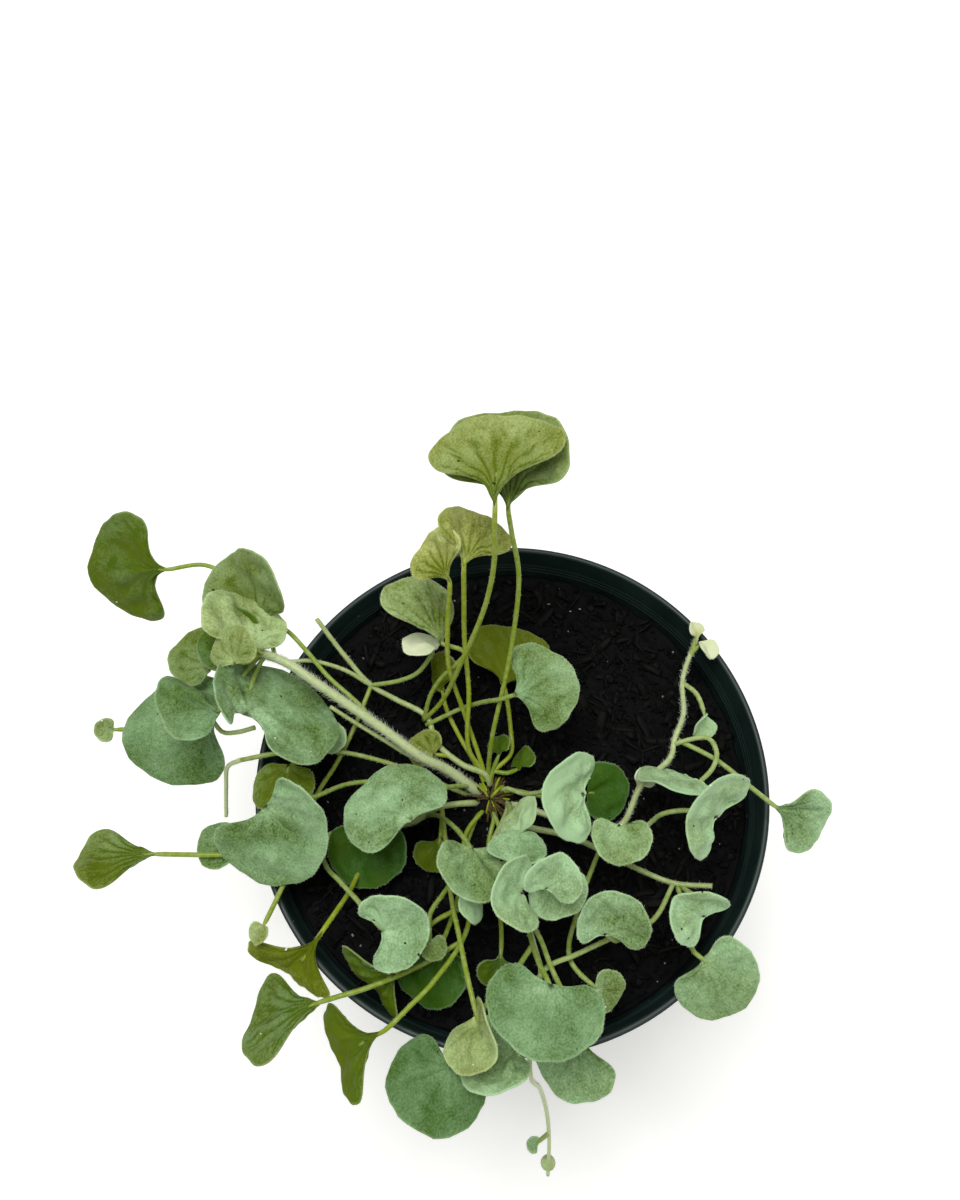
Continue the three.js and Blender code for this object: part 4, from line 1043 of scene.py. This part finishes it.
leafy_stem("runner_left", [
  stem(THICK_RUNNER, 1.1, silver=1.0, hair=1.5, per_mm=30, route=[
    [-10.5, -0.5, 107], [-17, 3, 112], [-23, 5, 116], [-34, 12, 121],
    [-44, 18, 125], [-49, 21, 127], [-57, 26, 129], [-64, 29, 128],
  ]),
  leaf([-65, 39, 124], 31, [126, 12, -35],
       dict(lobes=134, length=0.63, fold=17, droop=-21, skew=-0.17, silver=0.3, warm=0.45), [
    [-35, 13, 121], [-39, 17, 123], [-47, 24, 124], [-53, 31, 124], [-59, 37, 124],
  ]),
  stem(STALK, 0.5, [[-16, 3, 110], [-24, 5, 113], [-34, 10, 117], [-40, 13, 120], [-46, 16, 124]]),
  leaf([-64.9, 28.7, 131], 26, [97, -17, 25],
       dict(lobes=105, length=0.61, fold=14, skew=0.32, pinch=0.22, neck=0.35, silver=0.65, warm=0.5), [
    [-62, 28, 128],
  ]),
  leaf([-68, 30, 126.5], 19, [146, 4, -10],
       dict(lobes=115, length=0.68, fold=10, silver=0.05, warm=0.3), [[-63, 29, 127]]),
  leaf([-68, 23, 136], 14, [94, 11, -26],
       dict(lobes=119, length=0.7, fold=-4, silver=0.4, warm=0.6), [
    [-64, 29, 128], [-66, 25, 132],
  ]),
  leaf([-77, 26, 124], 17, [153, 3, 1],
       dict(lobes=120, length=0.68, fold=10, droop=-5, skew=-0.12, silver=0.25, warm=0.45), [
    [-63, 29, 127], [-70, 27, 124],
  ]),
  leaf([-64.8, 10.6, 134], 41, [106, -27, 48],
       dict(lobes=161, length=0.48, fold=17, droop=9, skew=-0.42, neck=0.15, silver=0.4, warm=0.05), [
    [-63, 29, 127], [-65, 23, 127.5], [-65.5, 16, 130],
  ]),
  leaf([-71, 11, 134], 23, [156, 17, 48],
       dict(lobes=111, length=0.69, fold=-17, droop=7, skew=0.08, silver=0.3, warm=0.05), [
    [-64, 29, 127], [-67, 24, 128], [-71, 17, 129],
  ]),
  leaf([-75, 12, 124], 36, [185, -8, -7],
       dict(lobes=121, length=0.67, fold=-32, droop=6, silver=0.3), [
    [-63, 29, 126], [-67, 24, 124], [-73, 18, 123],
  ]),
  leaf([-92.4, 55.5, 121], 37, [167, -9, -51],
       dict(lobes=101, length=0.66, fold=-9, skew=0.09, pinch=0.79, neck=0.32, silver=0.05, warm=0.55), [
    [-60, 28, 128], [-66, 42, 121], [-75, 53, 120], [-83, 57, 121],
  ]),
  stem(STALK, 0.6, [[-75, 12, 124], [-72, 9, 125], [-68, 9, 125.5], [-64, 10, 126]]),
  leaf([-101, 11, 120.5], 6.5, [185, 20, -20],
       dict(lobes=100, length=0.74, fold=20, silver=0.55, warm=0.35), [
    [-75, 12, 124], [-90, 12, 118.5],
  ]),
  leaf([-24, -14, 132], 28, [128, -28, 6],
       dict(lobes=122, length=0.69, fold=-15, droop=6, skew=0.08, silver=0.55), [
    [-10.5, -0.5, 107], [-12.5, -1, 110], [-17, -3, 116], [-21, -9, 125],
  ]),
])

leafy_stem("stem_left", [
  stem(STALK, STALK, silver=0.3, route=[
    [-14, -1.6, 107], [-32, 5, 110], [-47, 7, 115], [-60, 5, 119.5], [-68, 3, 121],
  ]),
  stem(STALK, 0.5, [[-68, 3, 121], [-71.5, 2, 119], [-73, -2, 113], [-74, -8, 106]], silver=1.2),
  leaf([-56, 2, 120], 18, [-99, 4, 8],
       dict(lobes=108, length=0.71, fold=-22, droop=4, skew=-0.1, silver=0.15, warm=0.6), [
    [-47, 7, 115], [-52, 5, 117],
  ]),
  leaf([-59, -10, 129.5], 37, [-39, -16, 39],
       dict(lobes=137, length=0.51, fold=12, droop=12, skew=-0.21, silver=0.4), [
    [-20, 0.7, 108], [-41, -1, 113], [-49, -6, 120], [-54, -9, 125],
  ]),
  leaf([-49, 10, 115.6], 9, [5, 2, 10],
       dict(lobes=90, length=0.74, fold=12, silver=1), [[-44.5, 6.5, 113.6]]),
])

leafy_stem("runner_left_low", [
  stem(RUNNER, 0.7, [
    [-11, -4.8, 107], [-19, -6, 107], [-26, -10, 107], [-43, -12, 108.5],
    [-53, -17, 112], [-60, -19, 117.8], [-68, -20, 118.6],
  ]),
  leaf([-86.5, -19.5, 118], 28, [189, 9, 27],
       dict(lobes=47, length=0.68, skew=-0.04, pinch=0.58, neck=0.4, silver=0.2, warm=0.6), [
    [-66, -19.8, 118.5], [-76, -20, 119.5],
  ]),
  leaf([-69, -17, 116.5], 13, [186, -5, 15],
       dict(lobes=120, length=0.69, fold=-4, silver=0.35, warm=0.05), [[-64, -19.5, 118.3]]),
  leaf([-36, -12, 113], 22, [-87, -15, 13],
       dict(lobes=129, length=0.68, fold=10, droop=-4, silver=0), [
    [-30, -10.7, 108],
  ]),
  leaf([-31, -38, 124], 23, [12, 21, 17],
       dict(lobes=163, length=0.55, fold=29, droop=-3, silver=0.55), [
    [-49, -15, 110.5], [-46, -22, 114], [-42, -26, 118], [-37, -31, 121],
  ]),
  leaf([-10, -20, 128.5], 20, [-86, 17, -24],
       dict(lobes=138, length=0.68, fold=6, silver=0.45, warm=0.15), [
    [-22, -8, 107], [-19, -9, 112], [-14, -14, 121],
  ]),
  leaf([-18, -14, 111], 13, [-109, -14, -15],
       dict(lobes=75, length=0.71, fold=7, pinch=0.6, silver=0, warm=0.65), [
    [-18, -6, 107], [-18, -11, 109],
  ]),
  leaf([-9, -56, 129], 18, [-66, 33, 47],
       dict(lobes=122, length=0.69, fold=21, droop=-13, skew=-0.11, silver=0.5, warm=0.6), [
    [-18, -6, 107], [-17, -14, 111], [-15, -30, 119], [-13, -39, 124], [-11, -48, 128],
  ]),
  leaf([-20, -40, 122], 7, [-59, -13, -19],
       dict(lobes=110, length=0.69, fold=5, silver=0.3, warm=0.35), [
    [-15, -26, 117], [-17, -29, 118], [-20, -34, 120],
  ]),
  leaf([-44.7, -37.6, 122], 48, [230, -36, -10],
       dict(lobes=89, length=0.32, fold=15, skew=-0.07, pinch=0.95, neck=0.37, silver=0.15, warm=1), [
    [-35, -11, 108], [-38, -21, 109], [-40, -28, 114.5], [-42.5, -33.5, 119.5],
  ]),
])

leafy_stem("stems_front_left", [
  leaf([-28.9, -58.7, 122], 45, [207, -37, 9],
       dict(lobes=79, length=0.39, fold=11, pinch=0.95, neck=0.35, silver=0, warm=0.65), [
    [-8, -7.5, 107], [-12, -14, 110], [-11, -36, 116], [-19, -49, 121], [-24, -54, 122],
  ]),
  leaf([-18, -41, 111], 20, [-106, -18, 10],
       dict(lobes=117, length=0.68, fold=11, droop=-5, silver=0), [
    [-9, -8.5, 107], [-12, -17, 107], [-14, -30, 108],
  ]),
  leaf([-27.8, -46.9, 118.4], 40, [206, -52, -15],
       dict(lobes=85, length=0.24, fold=10, skew=-0.15, pinch=0.57, neck=0.33, silver=0.05, warm=0.5), [
    [-11, -31, 114.5], [-20, -36, 116.5], [-24, -43, 117.8],
  ]),
  leaf([-44.9, -53, 118.5], 34, [200, -23, 31],
       dict(lobes=57, length=0.6, fold=8, pinch=0.6, neck=0.36, silver=0.15, warm=0.45), [
    [-13, -40, 117.5], [-22, -45, 117], [-34, -50, 119], [-41, -52, 119.3],
  ]),
])

leafy_stem("stems_front", [
  leaf([7, -50, 138], 28, [-108, 20, 3],
       dict(lobes=142, length=0.59, fold=-3, silver=0.3), [
    [-4.5, -8, 107], [-3, -12, 109], [3, -37, 122], [4, -42, 127], [5, -46, 133],
  ]),
  leaf([15, -58, 125], 25, [-118, -25, 14],
       dict(lobes=79, fold=-10, droop=9, skew=0.08, pinch=0.72, silver=0.55, warm=0.05), [
    [3, -34, 120], [6, -40, 122.5], [8, -46, 125], [11, -52, 124.5],
  ]),
  stem(STALK, 0.5, silver=1.1, route=[
    [3, -35, 120], [5, -42, 118], [6, -46, 118], [4, -55, 119], [3, -65, 118.4], [3.5, -69, 114],
    [6, -71.6, 102], [7.8, -75.6, 92], [9, -80.4, 83], [9.6, -86, 75], [9.5, -93.5, 68],
  ]),
  bud([9.5, -90.5, 70], 2),
  leaf([6.5, -86, 76.5], 4.5, [160, 10, 0],
       dict(lobes=120, length=0.7, fold=20, silver=0.7), [[9.3, -83, 79]]),
  leaf([-14, -66, 120.5], 26, [-126, 14, 4],
       dict(lobes=142, length=0.61, fold=-14, droop=17, skew=-0.08, silver=0.15), [
    [4, -41, 126], [-2, -49, 121], [-7, -54, 119.5], [-10, -59, 119],
  ]),
  leaf([-3, -42, 111], 11, [-107, -20, -28],
       dict(lobes=81, length=0.73, fold=11, skew=-0.17, pinch=0.6, silver=0, warm=0.4), [
    [-4.5, -8.5, 107], [-6, -16, 107], [-3, -35, 109],
  ]),
])

leafy_stem("tuft_middle", [
  leaf([1, -17, 128], 14, [90, -33, -48], dict(lobes=112, length=0.71, skew=-0.13, silver=0.95, warm=0.2), [
    [-1, -5, 107], [-0.5, -11, 118],
  ]),
  leaf([-1, -24, 133], 15, [60, -32, -23],
       dict(lobes=120, fold=7, silver=0.5), [[-1, -5, 107], [-1, -15, 120]]),
  leaf([1, -31, 136], 19, [196, 47, -13],
       dict(lobes=142, length=0.64, fold=25, droop=-11, silver=0.9), [
    [-1, -5, 107], [0, -19, 120], [1, -28, 130],
  ]),
  leaf([6, -31, 143], 15, [64, 33, 21],
       dict(lobes=151, length=0.63, fold=21, droop=-10, silver=0.8), [
    [-0.5, -5.5, 107], [2, -19, 120], [5, -28, 134],
  ]),
  leaf([9, -27, 130], 15, [-79, 20, 15],
       dict(lobes=130, length=0.68, fold=-8, droop=4, silver=0.7, warm=0.05), [
    [-0.5, -5.5, 107], [4, -19, 118],
  ]),
  leaf([-10, -29, 125], 10, [-92, -4, -57],
       dict(lobes=130, length=0.75, fold=-8, droop=4, silver=1), [
    [-1, -5.5, 107], [-6, -18, 116], [-9, -26, 122],
  ]),
])

leafy_stem("stem_right_middle", [
  leaf([16, -8, 132], 23, [196, 41, -28],
       dict(lobes=136, length=0.65, fold=14, droop=-6, silver=1), [
    [-1.5, -1, 107], [3, -3, 110], [8, -4, 116], [13, -7, 126],
  ]),
  bud([8, -4, 117], 1.1),
  leaf([19, -3.5, 114], 15.5, [-3, -14, 8],
       dict(lobes=123, length=0.7, fold=9, skew=0.09, silver=0), [
    [-1, -1.5, 107], [13, -4, 108],
  ]),
])

leafy_stem("runner_right", [
  stem(RUNNER, 0.55, silver=0.8, hair=1.0, per_mm=16, route=[
    [2.5, -5.5, 107], [9, -8, 108], [20, -12, 110], [27, -12, 115], [32, -3, 120],
    [39, 3, 124], [40, 7, 125], [43, 14, 124], [44, 24, 122], [49, 36, 120],
  ]),
  leaf([49, 35.5, 120], 7, [110, 10, 30],
       dict(lobes=70, length=0.7, fold=20, pinch=0.5, silver=1.45, warm=0.7), [[47, 31, 121]]),
  leaf([49.5, 35, 120], 8, [-60, -5, -30],
       dict(lobes=80, length=0.72, fold=30, silver=1.55, warm=0.6), [[47.5, 32, 121]]),
  leaf([25, -14, 126], 16, [-98, 7, 3],
       dict(lobes=142, length=0.63, fold=13, droop=-5, skew=0.09, silver=0.55, warm=0.2), [
    [22, -12, 112], [24, -15, 120],
  ]),
  leaf([47, -13, 131], 25, [162, 58, -21],
       dict(lobes=134, length=0.62, fold=17, droop=-5, silver=1), [
    [27, -12, 115], [31, -14, 117], [34, -12, 120], [36, -11, 124], [41, -11, 128],
  ]),
  leaf([45, -4, 126], 21, [190, 31, 54],
       dict(lobes=102, length=0.71, fold=-7, skew=-0.14, silver=0.9), [
    [40, 6, 125], [44, 7, 126], [48, 7, 127], [49.5, 3, 128], [48, -1, 128],
  ]),
  leaf([63, -9, 124], 22, [-17, -26, 22],
       dict(lobes=72, length=0.67, fold=28, pinch=0.73, silver=0.7), [
    [41, 7, 125], [50, 2, 125], [58, -5, 125],
  ]),
  leaf([49, 14, 123], 9, [-132, -12, -53],
       dict(lobes=109, length=0.69, fold=28, droop=-12, silver=1), [
    [44, 23, 122], [47, 19, 124],
  ]),
  leaf([31, -3, 119.5], 7, [60, 10, 30],
       dict(lobes=80, length=0.72, fold=20, silver=1.6), [[30, -7, 118]]),
])

leafy_stem("runner_front_right", [
  stem(RUNNER, 0.6, [
    [1.5, -9, 107], [4, -11, 108], [15, -14, 110], [30, -22, 113], [39, -26, 115], [48, -27, 117],
  ]),
  leaf([0, -63, 125], 20.5, [208, 2, 33],
       dict(lobes=131, length=0.67, fold=16, droop=-5, silver=0.8), [
    [39, -26.2, 115], [33, -35, 117], [23, -39, 119], [14, -43, 121], [7, -46, 121.6], [2, -54, 123],
  ]),
  leaf([20, -39, 128], 20, [93, 37, 0],
       dict(lobes=153, length=0.56, fold=16, droop=-6, skew=-0.2, silver=0.55, warm=0.05), [
    [25, -39, 118.5], [23, -40, 123],
  ]),
  leaf([43, -35, 128], 18, [156, 38, -30],
       dict(lobes=133, length=0.61, fold=27, droop=-8, silver=0.85), [
    [41, -27, 115], [44, -31, 121],
  ]),
  leaf([43, -44, 123], 23, [-35, -13, 25],
       dict(lobes=119, length=0.63, fold=-6, droop=11, skew=-0.19, silver=0.45, warm=0.1), [
    [40, -27, 115], [41, -34, 118], [41, -42, 122],
  ]),
  leaf([18, -50, 120], 11, [-2, -20, 28], dict(lobes=115, length=0.67, fold=7, silver=0.45, warm=0.25), [
    [22, -17, 111], [18, -26, 112], [15, -34, 114], [13, -40, 116], [13, -44, 118], [15, -47, 119],
  ]),
])

# %% [markdown]
# At the crown all stalks meet in a knot of green stalk bases and a few dry sheaths, which hides where
# each stalk goes in. The knot is short tubes that fan out from the middle and dip into the soil at
# both ends, drawn at random within a few millimetres.

# %% The crown's knot
dry_straw = earth("dry_stalk_straw", "#2b2113", "#6d5f38", 0.5, 0.8, 0.1)
KNOT_ARCH = ((0.05, 0.2), (0.3, 1), (0.7, 0.7), (1, -0.3))
KNOT_SIDES = 8
draw = np.random.default_rng(77)


def knot(count, reach, height, size, words):
    """Short tubes from near the crown outward. Each lower and upper bound is of a random draw, in mm."""
    low, high = zip((0, 2 * np.pi), reach, height, size)
    tubes = []
    for turn, out, rise, radius in draw.uniform(low, high, (count, 4)):
        way = np.array([math.cos(turn), math.sin(turn)])
        route = [(*(CROWN + way * out * f), SOIL_TOP + rise * g) for f, g in KNOT_ARCH]
        tubes.append(tube(route, lambda run, length: (radius + 0 * run, 0.8 * radius + 0 * run),
                          (0, 0, 1), words, KNOT_SIDES))
    return joined(tubes)


green_bases = knot(9, (4, 8), (1.0, 2.4), (0.4, 0.6), dict(silver=0.0, warm=1.0))
piece("crown_stalk_bases", green_bases, stalk_skin, "soil")
piece("crown_straw", knot(30, (3, 9), (0.6, 2.8), (0.25, 0.5), {}), dry_straw, "soil")
print("crown of", len(green_bases[0]), "points of green")

# %% [markdown]
# Thin fibres of bark and root lie on the soil, each a bent tube that follows the soil's height just
# above it. They are drawn coarser than the finest real ones, which wouldn't show.

# %% Fibres on the soil
FIBRES = 120
FIBRE_RADIUS = 0.13
FIBRE_SIDES = 5
fibres = []
low, high = (-56, -56, 0, 4, -0.6), (56, 56, 2 * np.pi, 16, 0.6)
for x, y, turn, length, bend in draw.uniform(low, high, (FIBRES, 5)):
    if math.hypot(x, y) < top_edge - 10:
        u = np.linspace(-0.5, 0.5, 5)
        px = x + length * (u * math.cos(turn) - bend * u ** 2 * math.sin(turn))
        py = y + length * (u * math.sin(turn) + bend * u ** 2 * math.cos(turn))
        route = np.stack([px, py, soil_height(px, py) + 0.6 + 0.5 * np.cos(9 * u)], -1).tolist()
        fibres.append(tube(route, lambda run, length: [FIBRE_RADIUS + 0 * run] * 2,
                           (0, 0, 1), {}, FIBRE_SIDES))
piece("soil_fibres", joined(fibres), bark, "soil")
